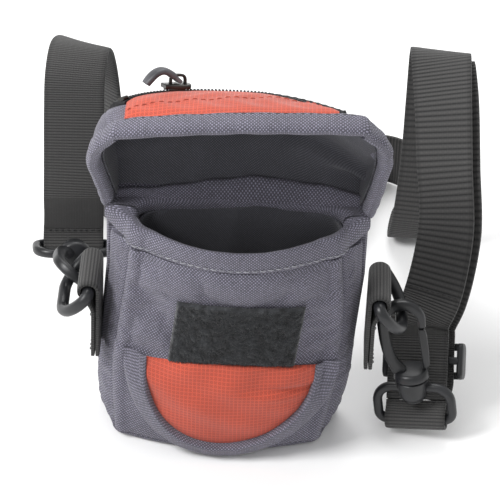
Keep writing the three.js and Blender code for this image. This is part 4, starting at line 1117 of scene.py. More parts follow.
    def mouth(self, turn: np.ndarray) -> np.ndarray:
        """The hem's inner edge: X and Y at turns round the body, from the middle of the front."""
        line = smooth_route(np.array(self.mouth_line), 260)
        x, y = (np.interp(np.abs(turn), line[:, 0], line[:, k]) for k in (1, 2))
        return np.stack([np.sign(turn) * x + self.mouth_ease * np.clip(np.abs(turn) - 1, 0, 1), y], -1)

    def spread(self, start: float, end: float, count: int, z: float = 45.0) -> np.ndarray:
        """Turns at even distances between two of them."""
        dense = np.linspace(start, end, 400)
        runs = walked(self.around(dense, z))
        return np.interp(np.linspace(0, runs[-1], count), runs, dense)


@dataclass(frozen=True)
class Dent:
    """A soft hollow or bulge of a padded panel."""

    across: float
    up: float
    reach_across: float
    reach_up: float
    depth: float
    turn_degrees: float = 0.0

    def at(self, across: Grid, up: Grid) -> Grid:
        """The hollow's depth at places of the panel."""
        middle, reach = (self.across, self.up), (self.reach_across, self.reach_up)
        return self.depth * bump_at(across, up, middle, reach, self.turn_degrees)


class PaddedBody:
    """The body's five panels, its hems and its lining."""

    GROOVE, GROOVE_REACH = 1.5, 1.9
    SWELL, SWELL_AT, SWELL_REACH = 0.8, 4.8, 2.2
    PULL, PULL_REACH = 0.14, 4.0
    SEAM_ALLOWANCE, END_ALLOWANCE, SLACK = 2.2, 2.0, 0.03
    PATCH_DEPTH, SEAM_GAP = 0.9, 0.02
    STITCH_DROP, STITCH_PITCH, STITCHED_TURN = 2.6, 2.6, 1.8
    LINING_THICK = 1.0
    FRONT_DENTS = (
        Dent(-24, 58, 5, 20, 1.5, 38), Dent(27, 55, 7, 18, 1.2, -14), Dent(-2, 76, 24, 5, -0.8),
        Dent(-8, 72, 4, 11, 1.0, 32), Dent(15, 71, 5, 12, 0.9, -28), Dent(-31, 68, 4, 10, -0.7, 20),
        Dent(-36, 20, 6, 14, 0.6, -15), Dent(31, 20, 6, 15, 0.6, 18),
    )
    LOOP_HALF, LOOP_MIDDLE, LOOP_REACH = 21, 37, 25
    REAR_DENTS = (Dent(12, 70, 18, 9, 0.5), Dent(-20, 30, 14, 20, -0.3))
    REAR_EDGE = (
        (-44, 87), (-31, 88.5), (-14, 89.6), (0, 91), (7, 92), (17, 91.4), (27, 91), (38, 89.5), (44, 88),
    )

    def __init__(self, shape: BodyShape, stitches: "Needle") -> None:
        """Keeps the outline and the stitcher."""
        self.shape = shape
        self.stitches = stitches

    def build(self) -> None:
        """Builds every piece of the body."""
        shape = self.shape
        foot, front_top = shape.base_thickness + shape.gap, shape.front_height - shape.front_hem - shape.gap
        rear_top = shape.rear_height - shape.rear_hem - shape.gap
        front, rear = shape.front_seam, shape.rear_seam
        self.panel("front_panel", (-front, front), (foot, front_top), (90, 72), self.FRONT_DENTS)
        side = (Dent(2.4, 55, 0.4, 18, 0.6), Dent(2.5, 22, 0.4, 14, -0.5))
        self.panel("right_gusset", (front + self.SEAM_GAP, rear), (foot, front_top), (30, 72), side)
        self.panel("left_gusset", (-rear, -front - self.SEAM_GAP), (foot, front_top), (30, 72), side)
        self.rear_panel(foot, rear_top)
        self.base()
        self.hems()
        self.lining()

    def panel(self, name: str, turns: tuple[float, float], heights: tuple[float, float],
              grain: tuple[int, int], dents: Sequence[Dent]) -> None:
        """A padded panel whose borders draw in to its seams.

        Args:
            name: the CAD node that it stands for.
            turns: where it starts and ends round the body.
            heights: where it starts and ends up the body.
            grain: grid points across and up.
            dents: soft hollows, placed by X or turn, and by height.
        """
        shape = self.shape
        turn = shape.spread(turns[0], turns[1], grain[0])
        z = np.linspace(heights[0], heights[1], grain[1])
        turns_grid, z_grid = np.meshgrid(turn, z)
        flat = shape.around(turns_grid, z_grid)
        widths = walked(flat, 1)
        edge = np.minimum(widths, widths[:, -1:] - widths)
        inset = drawn_in(edge, np.minimum(z_grid - z[0], z[-1] - z_grid))
        tug = np.sin(z_grid * 1.05 + 2 * np.sin(z_grid * 0.21))
        inset += self.PULL * np.exp(-edge / self.PULL_REACH) * tug
        inset += self.GROOVE * np.exp(-((edge / self.GROOVE_REACH) ** 2))
        inset -= self.SWELL * np.exp(-(((edge - self.SWELL_AT) / self.SWELL_REACH) ** 2))
        front = name == "front_panel"
        place = flat[..., 0] if front else np.abs(turns_grid)
        inset += sum(dent.at(place, z_grid) for dent in dents)
        held = self.seamed(edge, z_grid, z[0], z[-1])
        if front:
            patch = self.patch_line(place)
            inset -= self.PATCH_DEPTH * np.clip((patch - z_grid) / 0.7, 0, 1) * np.clip(edge / 2.5, 0, 1)
            behind_tape = (np.abs(place - 1.4) < 23) & (z_grid < 67)
            held |= (z_grid < patch + 2.0) | behind_tape
        else:
            behind_tab = (place > 2.25) & (place < 2.85) & (z_grid > 28)
            held |= behind_tab
        outer = relaxed(shape.around(turns_grid, z_grid, inset), held, self.SLACK)
        inner = shape.around(turns_grid, z_grid, shape.fabric)
        piece = shell_piece(name, outer, inner, GREY_CLOTH)
        settle(piece, Body.POUCH, GREY_CLOTH, name)

    def seamed(self, edge: Grid, z: Grid, foot: float, top: float) -> Grid:
        """Whether a place of a panel is held by the seam at its side, its foot or its top."""
        return (edge < self.SEAM_ALLOWANCE) | (z < foot + self.END_ALLOWANCE) | (z > top - 1.5)

    @staticmethod
    def patch_line(x: Grid) -> Grid:
        """Height of the top edge of the grey cloth that is sewn on round the orange pocket."""
        return 39.6 + 0.05 * np.abs(x) + 2.6 * np.maximum(0, 1 - (x / 30) ** 2)

    def rear_panel(self, foot: float, top: float) -> None:
        """The back of the body, from one rear corner seam to the other.

        Args:
            foot: height of the panel's lower edge.
            top: height of its upper edge.
        """
        shape = self.shape
        half = shape.spread(shape.rear_seam + self.SEAM_GAP, 5.0, 34)
        turn = np.concatenate([half, -half[-2::-1]])
        z = np.linspace(foot, top, 60)
        turns, heights = np.meshgrid(turn, z)
        line = shape.around(turns, heights)
        widths = walked(line, 1)
        edge = np.minimum(widths, widths[:, -1:] - widths)
        inset = drawn_in(edge, np.minimum(heights - foot, top - heights))
        inset += sum(dent.at(line[..., 0], heights) for dent in self.REAR_DENTS)
        beside, above = np.abs(line[..., 0]), np.abs(heights - self.LOOP_MIDDLE)
        behind_loop = (beside < self.LOOP_HALF) & (above < self.LOOP_REACH)
        held = self.seamed(edge, heights, foot, top) | behind_loop
        outer = relaxed(shape.around(turns, heights, inset), held, self.SLACK)
        piece = shell_piece("rear_panel", outer, shape.around(turns, heights, shape.fabric), GREY_CLOTH)
        settle(piece, Body.POUCH, GREY_CLOTH, "rear_panel")

    def base(self) -> None:
        """The base panel, rounded up to the walls' foot."""
        shape = self.shape
        half = shape.spread(0.0, 5.0, 60)
        turn = np.concatenate([half, -half[-2:0:-1]])
        levels = np.array([0.02, 0.35, 0.9, 1.7, 2.4, 2.85, shape.base_thickness])
        tuck = np.array([0.0, 0.0, 0.0, 0.0, 0.1, 0.35, 0.8])
        rings = np.array([shape.around(turn, np.full(turn.shape, z), t) for z, t in zip(levels, tuck)])
        inner = shape.around(turn, np.full(turn.shape, shape.base_thickness), 8.0)
        rings = np.concatenate([rings, inner[None]])
        piece = rod_piece("base_panel", rings, GREY_CLOTH)
        lay_flat(piece, (0, 1, -1))
        settle(piece, Body.POUCH, GREY_CLOTH, "base_panel")

    def band(self, name: str, turn: np.ndarray, middle: float, half_height: float, proud: float,
             wave: np.ndarray) -> None:
        """A rolled band round part of the mouth.

        Args:
            name: the CAD node that it stands for.
            turn: its stations round the body.
            middle: the height of its middle.
            half_height: half its height.
            proud: how far its outer side stands off the wall.
            wave: a rise of each station.
        """
        around = self.shape.around
        inwards = np.zeros((len(turn), 3))
        inwards[:, :2] = self.shape.mouth(turn) - around(turn, middle, -proud)[:, :2]
        rings = np.array([
            around(turn, middle + wave + up, -proud) + inwards * (1 + out) / 2
            for up, out in ellipse(half_height, 1.0, 30, 2.9)
        ]).transpose(1, 0, 2)
        settle(rod_piece(name, rings, GREY_CLOTH), Body.POUCH, GREY_CLOTH, name)

    def hems(self) -> None:
        """The rolled hems of the mouth, and the front hem's stitches."""
        shape = self.shape
        proud = shape.hem_proud

        turn = shape.spread(-shape.rear_seam + 0.01, shape.rear_seam - 0.01, 150, shape.front_height)
        run = np.linspace(0, 1, len(turn))
        wave = 0.3 * np.sin(run * 23 + 2 * np.sin(run * 7)) * np.sin(math.pi * run) + 0.08 * np.sin(run * 71)
        middle = shape.front_height - shape.front_hem / 2
        rise = (shape.rear_height - shape.front_height) * np.clip(np.abs(turn) - 2, 0, 1) ** 2 * 0.8
        lift = wave * 0.5 + rise
        self.band("front_hem", turn, middle, shape.front_hem / 2 + 0.15, proud, lift)
        sewn = np.abs(turn) < self.STITCHED_TURN
        line = shape.around(turn[sewn], middle - self.STITCH_DROP + lift[sewn], -proud - 0.12)
        lifts = self.outward(turn[sewn], middle)
        self.stitches.row("front_hem_stitches", [line], lifts, HEM_THREAD, self.STITCH_PITCH)

        rear_half = shape.spread(shape.rear_seam + self.SEAM_GAP, 5.0, 40, shape.rear_height)
        rear = np.concatenate([rear_half, -rear_half[-2::-1]])
        share = np.linspace(0, 1, len(rear))
        rear_wave = 0.15 * np.sin(share * 31 + np.sin(share * 13)) + 0.3 * np.sin(math.pi * share) ** 2
        self.band("rear_hem", rear, shape.rear_height - 3.9, 3.6, proud - 0.1, rear_wave)

    def outward(self, turn: np.ndarray, z: float) -> list[np.ndarray]:
        """The directions out of the wall at some turns, as the stitcher takes them."""
        near, far = self.shape.around(turn, z, 1.0), self.shape.around(turn, z, 0.0)
        return [unit(far - near)]

    def lining(self) -> None:
        """The dark lining inside, a cup with soft creases."""
        shape = self.shape
        half = shape.spread(0.0, 5.0, 70)
        turn = np.concatenate([half, -half[-2:0:-1]])
        edge_line = shape.around(turn, np.full(turn.shape, 86.0), shape.fabric)
        front, rear = shape.front_y - shape.rim_bow, shape.rim_rear_y
        share = np.clip((edge_line[:, 1] - front) / (rear - front), 0, 1)
        rear_top = from_table(edge_line[:, 0], self.REAR_EDGE)
        top = shape.front_height - 5 + (rear_top - shape.front_height + 5) * share ** 1.5
        foot = shape.base_thickness + shape.gap
        outer_inset = shape.fabric + shape.gap

        def ring(level: float, inset: float, base: float) -> Grid:
            """One ring of the cup at a share of its height.

            Args:
                level: the share.
                inset: how far inside the wall's outer face it lies.
                base: height of the cup's foot.

            Returns:
                The ring's points.
            """
            z = base + (top - base) * level
            angle = np.linspace(0, 2 * math.pi, len(turn), endpoint=False)
            crease = 0.5 * np.sin(angle * 9 + level * 5) * level * (1 - level) * 2
            line = shape.around(turn, z, inset + np.maximum(crease, -0.2))
            mouth = shape.mouth(turn)
            mouth -= unit(mouth - np.array([0.35, 0.6]) * mouth) * (inset - outer_inset + 0.35)
            line[:, :2] += (mouth - line[:, :2]) * level ** 5
            return line

        thick = self.LINING_THICK
        inner = [ring(level, outer_inset + thick, foot + thick) for level in np.linspace(0, 1, 26)]
        outer = [ring(level, outer_inset, foot) for level in np.linspace(1, 0, 6)]
        piece = rod_piece("body_lining", np.array(inner + outer), LINING_CLOTH)
        settle(piece, Body.POUCH, LINING_CLOTH, "body_lining")


class Needle:
    """Sews rows of stitches with one shared Geometry Nodes tree."""

    def __init__(self) -> None:
        """Builds the tree."""
        self.tree = StitchTree()

    def row(self, name: str, lines: Sequence[Grid], lifts: Sequence[Grid], thread: Finish, pitch: float,
            body: Body = Body.POUCH, radius: float = 0.17) -> Piece:
        """Sews stitches along lines.

        Args:
            name: the new piece's name.
            lines: the points of each row, on the cloth.
            lifts: the directions out of the cloth at those points.
            thread: the thread's finish.
            pitch: the distance from stitch to stitch.
            body: what the cloth rides on.
            radius: the thread's radius.

        Returns:
            The stitches, as one piece.
        """
        seed = stitch_seed(pitch * 0.72, radius, thread)
        piece = self.tree.run(name, list(zip(lines, lifts)), seed, pitch, thread)
        return settle(piece, body, thread)


class FrontPocket:
    """The orange pocket, its padded rim and the loop tape above it."""

    HALF, DROP, TOP = 28.4, 32.3, 39.0
    RIM_WIDTH, RIM_HEIGHT, CLOTH, UNDER = 8.0, 3.6, 1.3, 2.0
    TAPE_HALF, TAPE_HEIGHT, TAPE_PILE, TAPE_FOOT, LOOPS_PER_MM2 = 21.3, 24.6, 1.5, 40.2, 3.2
    PUFF, SWAY, MOUTH_RISE, MOUTH_TILT = 2.3, 3.6, 3.0, 0.6

    def __init__(self, shape: BodyShape, scatter: ScatterTree) -> None:
        """Keeps the body's outline and the maker of the pile."""
        self.shape, self.scatter = shape, scatter

    def build(self) -> None:
        """Builds the pocket and the tape."""
        self.panel()
        self.rim()
        self.tape()

    def on_front(self, x: Grid, z: Grid, out: Grid | float) -> Grid:
        """Points over the front face."""
        return np.stack([x, self.shape.front_face(x, z, out), z], -1)

    def panel(self) -> None:
        """The orange panel, puffed out below its mouth."""
        gap = self.shape.gap
        drop = self.DROP + self.UNDER
        u, v = np.meshgrid(np.linspace(-1, 1, 90), np.linspace(0, 1, 50))
        arc = np.sqrt(np.maximum(0.02, 1 - u ** 2))
        x = u * (self.HALF + 0.7 + (self.UNDER - 0.7) * np.clip(v * 7, 0, 1)) + self.sway(arc * v)
        z = self.mouth(u) * (1 - v) + (self.TOP - drop * arc) * v
        puff = self.PUFF * np.sin(math.pi * np.clip(v * 0.9 + 0.06, 0, 1)) * (1 - u ** 4)
        wrinkle = 0.45 * np.sin(x * 0.33 + 3 * np.sin(v * 2.2)) * np.exp(-((v - 0.12) / 0.22) ** 2)
        wrinkle += 0.35 * np.sin((x * 0.5 + z) * 0.42) * np.sin(math.pi * v)
        wrinkle += Dent(20, 31.5, 11, 1.3, -1.1, -6).at(x, z) + Dent(19, 29, 12, 1.6, 0.7, -6).at(x, z)
        mouth = 0.5 * rounded_edge(self.mouth(u) - z, 1.2)
        outer = self.on_front(x, z, gap + self.CLOTH + puff + wrinkle - mouth)
        inner = self.on_front(x, z, gap)
        piece = shell_piece("pocket_panel", outer, inner, ORANGE_CLOTH)
        lay_flat(piece, Z_AXIS)
        settle(piece, Body.POUCH, ORANGE_CLOTH, "pocket_panel")

    def sway(self, share: Grid) -> Grid:
        """How far the pocket's foot lies to the left, growing down it."""
        return -self.SWAY * np.clip(share, 0, 1.3) ** 1.6

    def mouth(self, share: Grid) -> Grid:
        """Height of the pocket's mouth at a share of its half width."""
        return self.TOP + self.MOUTH_RISE * np.maximum(0, 1 - share ** 2) - self.MOUTH_TILT * share

    def rim_point(self, turn: Grid, share: Grid, out: Grid | float) -> Grid:
        """A point of the rim: turn from its left end to its right one, and share of its width.

        Args:
            turn: from 0 at the left end to 1 at the right one.
            share: from 0 at the inner edge to 1 at the outer one.
            out: how far off the front.

        Returns:
            The points.
        """
        angle = math.pi * (1.024 * turn - 0.012)
        x = -(self.HALF + self.RIM_WIDTH * share) * np.cos(angle) + self.sway(np.sin(angle))
        drop = self.DROP + (self.RIM_WIDTH - 2.2) * share
        z = self.TOP + self.MOUTH_TILT * np.cos(angle) - drop * np.sin(angle)
        return self.on_front(x, z, out)

    def rim(self) -> None:
        """The padded grey rim round the orange panel: thick at its inner edge, sloping to the body."""
        back = self.CLOTH + 2 * self.shape.gap
        turn, share = np.meshgrid(np.linspace(0, 1, 150), np.linspace(0, 1, 26), indexing="ij")
        inner_edge = rounded_edge(share * self.RIM_WIDTH, 1.6)
        outer_edge = rounded_edge((1 - share) * self.RIM_WIDTH, 1.3)
        ends = rounded_edge(np.minimum(turn, 1 - turn) * 110, 1.5)
        rise = np.clip(np.minimum(turn, 1 - turn) / 0.13, 0, 1)
        slope = (1 - 0.5 * share ** 1.4) * (0.08 + 0.92 * rise * rise * (3 - 2 * rise))
        pucker = 0.2 * np.sin(turn * 47 + 3 * np.sin(turn * 11)) * np.sin(math.pi * share)
        level = np.where(share > 0.3, 1.1 + (back - 1.1) * rise, back)
        height = self.RIM_HEIGHT * slope * (1 - np.maximum(np.maximum(inner_edge, outer_edge), ends)) + pucker
        outer = self.rim_point(turn, share, level + np.maximum(height, 0.25))
        inner = self.rim_point(turn, share, np.where(share > 0.75, self.shape.gap, np.minimum(level, back)))
        piece = shell_piece("pocket_rim", outer, inner, GREY_CLOTH)
        settle(piece, Body.POUCH, GREY_CLOTH, "pocket_rim")

    def tape(self) -> None:
        """The loop tape: a woven backing with a standing pile."""
        gap = self.shape.gap
        u, v = np.meshgrid(np.linspace(-1, 1, 70), np.linspace(0, 1, 40))
        x = u * self.TAPE_HALF + 2.8 * v
        z = self.TAPE_FOOT + self.TAPE_HEIGHT * v - 0.03 * x * v + 0.12 * np.sin(x * 0.9)
        z = z + (2.3 - 0.9 * v) * (1 - u ** 2)
        edge = np.minimum(self.TAPE_HALF * (1 - np.abs(u)), np.minimum(v, 1 - v) * self.TAPE_HEIGHT)
        fuzz = 0.16 * np.sin(x * 3.1 + np.sin(z * 2.3) * 2) * np.sin(z * 2.7 + np.sin(x * 1.9) * 2)
        outer = self.on_front(x, z, gap + self.TAPE_PILE * (1 - 0.6 * rounded_edge(edge, 0.9)) + fuzz)
        piece = shell_piece("loop_tape", outer, self.on_front(x, z, gap), LOOP_PILE)
        settle(piece, Body.POUCH, LOOP_PILE, "loop_tape")
        mesh = bpy.data.meshes.new("pile_ground")
        face = outer[:-1, 1:-1]
        mesh.from_pydata((face.reshape(-1, 3) * MM).tolist(), [], faces_between(*face.shape[:2]))
        ground = linked("pile_ground", mesh)
        per_square_metre = self.LOOPS_PER_MM2 / MM ** 2
        pile = self.scatter.bake("loop_tape_pile", ground, self.pile_seed(), per_square_metre, LOOP_PILE)
        settle(pile, Body.POUCH, LOOP_PILE)

    def pile_seed(self) -> Piece:
        """One loop of the pile: a small bent thread."""
        path = [[0.28 * math.cos(a), 0, 0.15 + 0.42 * math.sin(a)] for a in np.linspace(-0.4, 3.5, 6)]
        return seed_piece("pile_seed", sweep(np.array(path), Y_AXIS, ellipse(0.07, 0.07, 4)), LOOP_PILE)


@dataclass(frozen=True)
class Place:
    """A frame in space: an origin and three axes."""

    origin: Triple
    x: Triple
    y: Triple
    z: Triple

    def put(self, points: np.ndarray) -> np.ndarray:
        """Points of this frame in the world."""
        axes = np.array([self.x, self.y, self.z])
        return np.asarray(points) @ axes + np.array(self.origin)


@dataclass(frozen=True)
class LidShape:
    """The open lid's surface, measured by a run from its hinge over the fold to the hem."""

    place: Place = Place((0, 9.3, 93.2), (1, 0, 0), (0, -0.42262, -0.90631), (0, 0.90631, -0.42262))
    fabric: float = 2.4
    depth: float = 37.0
    fold_radius: float = 6.0
    flap_straight: float = 34.0
    hinge_half: float = 43.0
    fold_half: float = 45.5
    hem_half: float = 43.5
    sink: float = 3.0
    crown: float = 0.42
    slope: float = 3.6
    slope_start: float = 5.0
    slope_across: float = 26.0
    slope_foot: float = 15.4
    slope_up: float = 14.0
    root_start: float = 6.0
    root_reach: float = 24.0
    drop_way: Triple = (0, -0.543, -0.574)
    arc_across: float = 3.0
    arc_up: float = 16.0
    droop: tuple[tuple[float, float], ...] = (
        (-45, 9.0), (-43, 8.2), (-39, 6.3), (-32, 4.5), (-18, 2.5), (0, 0.5), (15, -0.2), (32, -0.9),
        (39, -0.4), (43, 1.2), (45, 2.2),
    )
    right_rim: tuple[Triple, ...] = (
        (43.0, 6.6, 91.6), (44.9, 1.5, 103.0), (46.7, -4.0, 119.0), (44.9, -9.0, 130.6), (39.2, -12.2, 137.8),
    )
    left_rim: tuple[Triple, ...] = (
        (-43.0, 6.6, 91.6), (-44.6, 1.5, 102.0), (-47.0, -3.4, 114.6), (-45.0, -8.2, 124.4),
        (-39.6, -11.4, 131.6),
    )

    @property
    def top_length(self) -> float:
        """Run to the start of the fold."""
        return self.depth - self.fold_radius

    @property
    def flap_start(self) -> float:
        """Run to the end of the fold."""
        return self.top_length + self.fold_radius * math.pi / 2

    @property
    def hem_start(self) -> float:
        """Run to the hem."""
        return self.flap_start + self.flap_straight

    @property
    def out(self) -> np.ndarray:
        """The way out of the flap's outer face."""
        return -np.array(self.place.y)

    @property
    def hem_line(self) -> float:
        """Height of the hem's start in the closed lid's frame."""
        return self.fabric - self.fold_radius - self.flap_straight

    def half_at(self, run: Grid) -> Grid:
        """Half width of the lid along its run."""
        share = np.clip(run / self.flap_start, 0, 1)
        late = np.clip((run - self.flap_start) / (self.hem_start - self.flap_start), 0, 1)
        widening, narrowing = self.fold_half - self.hinge_half, self.hem_half - self.fold_half
        return self.hinge_half + widening * share + narrowing * late

    def surface(self, x: Grid, run: Grid, depth: Grid | float) -> Grid:
        """Points of the lid.

        Args:
            x: places across it.
            run: places along its outer face.
            depth: how far below the outer face.

        Returns:
            World points, with the hem's corners drooping.
        """
        x, run, depth = together(x, run, depth)
        angle = np.clip((run - self.top_length) / self.fold_radius, 0, math.pi / 2)
        radius = self.fold_radius - depth
        top, flap = run <= self.top_length, run >= self.flap_start
        y = np.select([top, flap], [-run, depth - self.depth], -self.top_length - radius * np.sin(angle))
        z = np.select(
            [top, flap], [self.fabric - depth, self.fabric - self.fold_radius - (run - self.flap_start)],
            self.fabric - self.fold_radius + radius * np.cos(angle),
        )
        return self.lowered(np.stack([x, y, z], -1), run)

    def lowered(self, local: Grid, run: Grid) -> Grid:
        """Points of the closed lid's frame, put in the world, with the droop of the hem's corners.

        Args:
            local: the points.
            run: the place of each along the outer face.

        Returns:
            World points.
        """
        share = np.clip((run - self.flap_start) / self.flap_straight, 0, 1)
        world = self.place.put(local)
        world[..., 2] -= from_table(local[..., 0], self.droop) * share ** 2
        world[..., 2] -= self.sink * np.clip(run / self.top_length, 0, 1) ** 1.5
        flat_up = np.clip(self.hem_start - run, 0, self.flap_straight)
        up = self.arc_up + flat_up + 0.35 * np.clip(self.flap_start - run, 0, 14)
        beyond = np.maximum(0, np.hypot(local[..., 0] + self.arc_across, up) - self.fold_half)
        root = np.clip((run - self.root_start) / self.root_reach, 0, 1)
        drop = self.crown * beyond ** 1.15 * root * root * (3 - 2 * root)
        right = np.clip((local[..., 0] - self.slope_start) / self.slope_across, 0, 1.5) ** 1.6
        right *= np.clip((up - self.slope_foot) / self.slope_up, 0, 1.4)
        drop += self.slope * right * root * root
        return world + drop[..., None] * np.array(self.drop_way)

    def flap(self, x: Grid, up: Grid, lift: Grid | float) -> Grid:
        """Points over the flap's outer face, about the centre of the zip's arc.

        Args:
            x: places across, from the arc's centre.
            up: places up the flap, from the arc's centre.
            lift: heights above the face.

        Returns:
            World points.
        """
        x, up, lift = together(x, up, lift)
        z = self.hem_line - self.arc_up + up
        local = np.stack([x - self.arc_across, -self.depth - lift, z], -1)
        return self.lowered(local, self.flap_start + self.fabric - self.fold_radius - z)

    def rim(self, side: Side, share: np.ndarray) -> np.ndarray:
        """The side's free edge, from the hinge to the hem's corner."""
        knots = np.array(self.right_rim if side is Side.RIGHT else self.left_rim)
        line = evenly(smooth_route(knots, 80), 200)
        return np.stack([np.interp(share, np.linspace(0, 1, 200), line[:, k]) for k in range(3)], -1)

    def side_edge(self, side: Side, share: np.ndarray, inset: float = 0.0, depth: float = 0.0) -> np.ndarray:
        """The edge where a side meets the top and the flap, at a share of the run to the hem."""
        run = share * self.hem_start
        return self.surface(side.value * (self.half_at(run) - inset), run, depth)


class OpenLid:
    """The lid, thrown open: its panels, rolled rim, lining and zipped pocket."""

    ZIP_RADIUS, ZIP_START, ZIP_END = 47.0, -50.0, 47.0
    ZIP_LIFT, TOOTH_PITCH, STOP_LENGTH = 1.1, 1.15, 2.2
    POCKET_FOOT, POCKET_HALF = 15.4, 34.0
    TAPE_HALF, TAPE_LENGTH, TAPE_THICK = 21.5, 24.0, 1.5
    SIDE_FABRIC, LINING, GAP = 2.4, 0.9, 0.3
    HEM_Z = 141.9
    HEM_Y = ((-43, -11.2), (-39, -12.2), (-32, -12.9), (0, -13.5), (32, -13.3), (39, -12.9), (43, -12.0))
    STRIP_TOP = (
        (-43, 0.4), (-35, 0.8), (-24, 1.8), (-10, 4.6), (0, 6.1), (7, 7.0), (17, 5.7), (27, 4.8), (35, 3.6),
        (43, 0.5),
    )
    STRIP_FOOT, STRIP_HALF = 2.9, 1.45

    def __init__(self, shape: LidShape, stitches: Needle) -> None:
        """Keeps the lid's surface and the stitcher."""
        self.shape, self.stitches = shape, stitches

    def build(self) -> None:
        """Builds every piece that rides on the lid."""
        fold_middle = (self.shape.top_length + self.shape.flap_start) / 2
        self.sheet("lid_top", 0.3, fold_middle - 0.15)
        self.sheet("lid_flap", fold_middle + 0.15, self.shape.hem_start + 1.0)
        for side in Side:
            self.side(side)
        self.hem()
        self.lining()
        self.hook_tape()
        self.pocket()
        self.zip()
        self.root_strip()

    def sheet(self, name: str, start: float, end: float) -> None:
        """The top or the flap: a padded sheet with its borders drawn in.

        Args:
            name: the CAD node that it stands for.
            start: the run where it begins.
            end: the run where it ends.
        """
        shape = self.shape
        w, run = np.meshgrid(np.linspace(-1, 1, 84), np.linspace(start, end, 44))
        x = w * (shape.half_at(run) - 0.3)
        edge = shape.half_at(run) - 0.3 - np.abs(x)
        sag = drawn_in(edge, np.minimum(run - start, end - run), 0.5)
        sag += 0.3 * np.sin(x * 0.16 + 1.3) * np.sin(run * 0.21) * np.clip(edge / 6, 0, 1)
        outer = shape.surface(x, run, sag)
        inner = shape.surface(x, run, shape.fabric)
        piece = shell_piece(name, outer, inner, GREY_CLOTH)
        settle(piece, Body.LID, GREY_CLOTH, name)

    def side(self, side: Side) -> None:
        """A side wedge with a rolled free edge.

        Args:
            side: the lid's side.
        """
        shape = self.shape
        share, reach = np.meshgrid(np.linspace(0.0, 1, 60), np.linspace(0.0, 1, 26), indexing="ij")
        free, fold = shape.rim(side, share), shape.side_edge(side, share, inset=0.2, depth=0.4)
        spot = fold + (free - fold) * reach[..., None]
        bulge = 1.6 * np.sin(math.pi * share) * np.sin(math.pi * np.clip(reach, 0, 1) ** 0.8)
        bulge += 0.35 * np.sin(share * 23 + reach * 4) * np.sin(math.pi * reach)
        width = np.linalg.norm(free - fold, axis=-1)
        rolled = 0.9 * rounded_edge(reach * width + 0.3, 1.6)
        out = np.array([side.value, 0.0, 0.0])
        outer = spot + out * (bulge - rolled)[..., None]
        inner = spot + out * (bulge - self.SIDE_FABRIC)[..., None]
        name = f"lid_{side.label}_side"
        sheet = shell_piece(name, outer, inner, GREY_CLOTH)
        run = np.linspace(0.0, 1, 70)
        path = shape.rim(side, run)
        toward = unit(shape.rim(side, run) - shape.side_edge(side, run))
        hem_way = np.array([0.25 * side.value, -0.96, -0.14])
        turn = np.clip((run - 0.55) / 0.45, 0, 1)[:, None]
        first = unit(toward * (1 - turn) + hem_way * turn)
        wave = 0.12 * np.sin(run * 40 + 3 * np.sin(run * 7))[:, None] * out
        rings = sweep(path + wave, first, lambda t: ellipse(3.4 + 0.7 * t, 2.3, 26, 2.6))
        roll = rod_piece(f"{name}_roll", rings, GREY_CLOTH)
        join_into(sheet, [roll])
        settle(sheet, Body.LID, GREY_CLOTH, name)

    def corner(self, side: Side, end: np.ndarray) -> np.ndarray:
        """The hem's way on round a corner, from the hem's end down along the side's free edge."""
        shares = np.linspace(0.97, 0.82, 9)
        tail = self.shape.rim(side, shares)
        return tail + (end - self.shape.rim(side, np.array([1.0]))) * np.linspace(0.7, 0, 9)[:, None]

    def hem(self) -> None:
        """The rolled hem of the flap, waved along its lower edge."""
        shape = self.shape
        x = np.linspace(shape.left_rim[-1][0], shape.right_rim[-1][0], 130)
        y = from_table(x, self.HEM_Y)
        z = self.HEM_Z - shape.sink - from_table(x, shape.droop)
        wave = 0.25 * np.sin(x * 0.55 + 2 * np.sin(x * 0.13)) + 0.1 * np.sin(x * 1.4)
        path = np.stack([x, y - 0.3 * wave, z + 0.25 * wave], 1)
        around = [self.corner(Side.LEFT, path[0])[::-1], path, self.corner(Side.RIGHT, path[-1])]
        whole = evenly(np.concatenate(around), 170)
        ends = np.clip((np.abs(whole[:, 0]) - 33) / 10, 0, 1)[:, None]
        first = unit(np.array([0, -0.987, -0.156]) + ends * np.sign(whole[:, :1]) * 0.25 * X_AXIS)

        def section(t: float) -> np.ndarray:
            """The roll's section, slimmer where its ends turn into the sides' rolls."""
            slim = 1 - 0.35 * abs(2 * t - 1) ** 9
            return ellipse((4.1 + 0.15 * math.sin(t * 47)) * slim, 2.0 * slim, 30, 2.7)

        rings = sweep(whole, first, section)
        piece = rod_piece("lid_hem", rings, GREY_CLOTH)
        settle(piece, Body.LID, GREY_CLOTH, "lid_hem")
        line = path[6:-6] + np.array([0, 2.4, 2.0])
        lift = np.tile(unit(np.array([0.0, 0.3, 1.0])), (len(line), 1))
        self.stitches.row("lid_hem_stitches", [line], [lift], DARK_THREAD, 2.6, Body.LID)

    def lining(self) -> None:
        """The dark lining of the lid's inside, creased at its corners."""
        shape = self.shape
        runs = np.linspace(0.03, 1.0, 70)
        depth = shape.fabric + 0.3

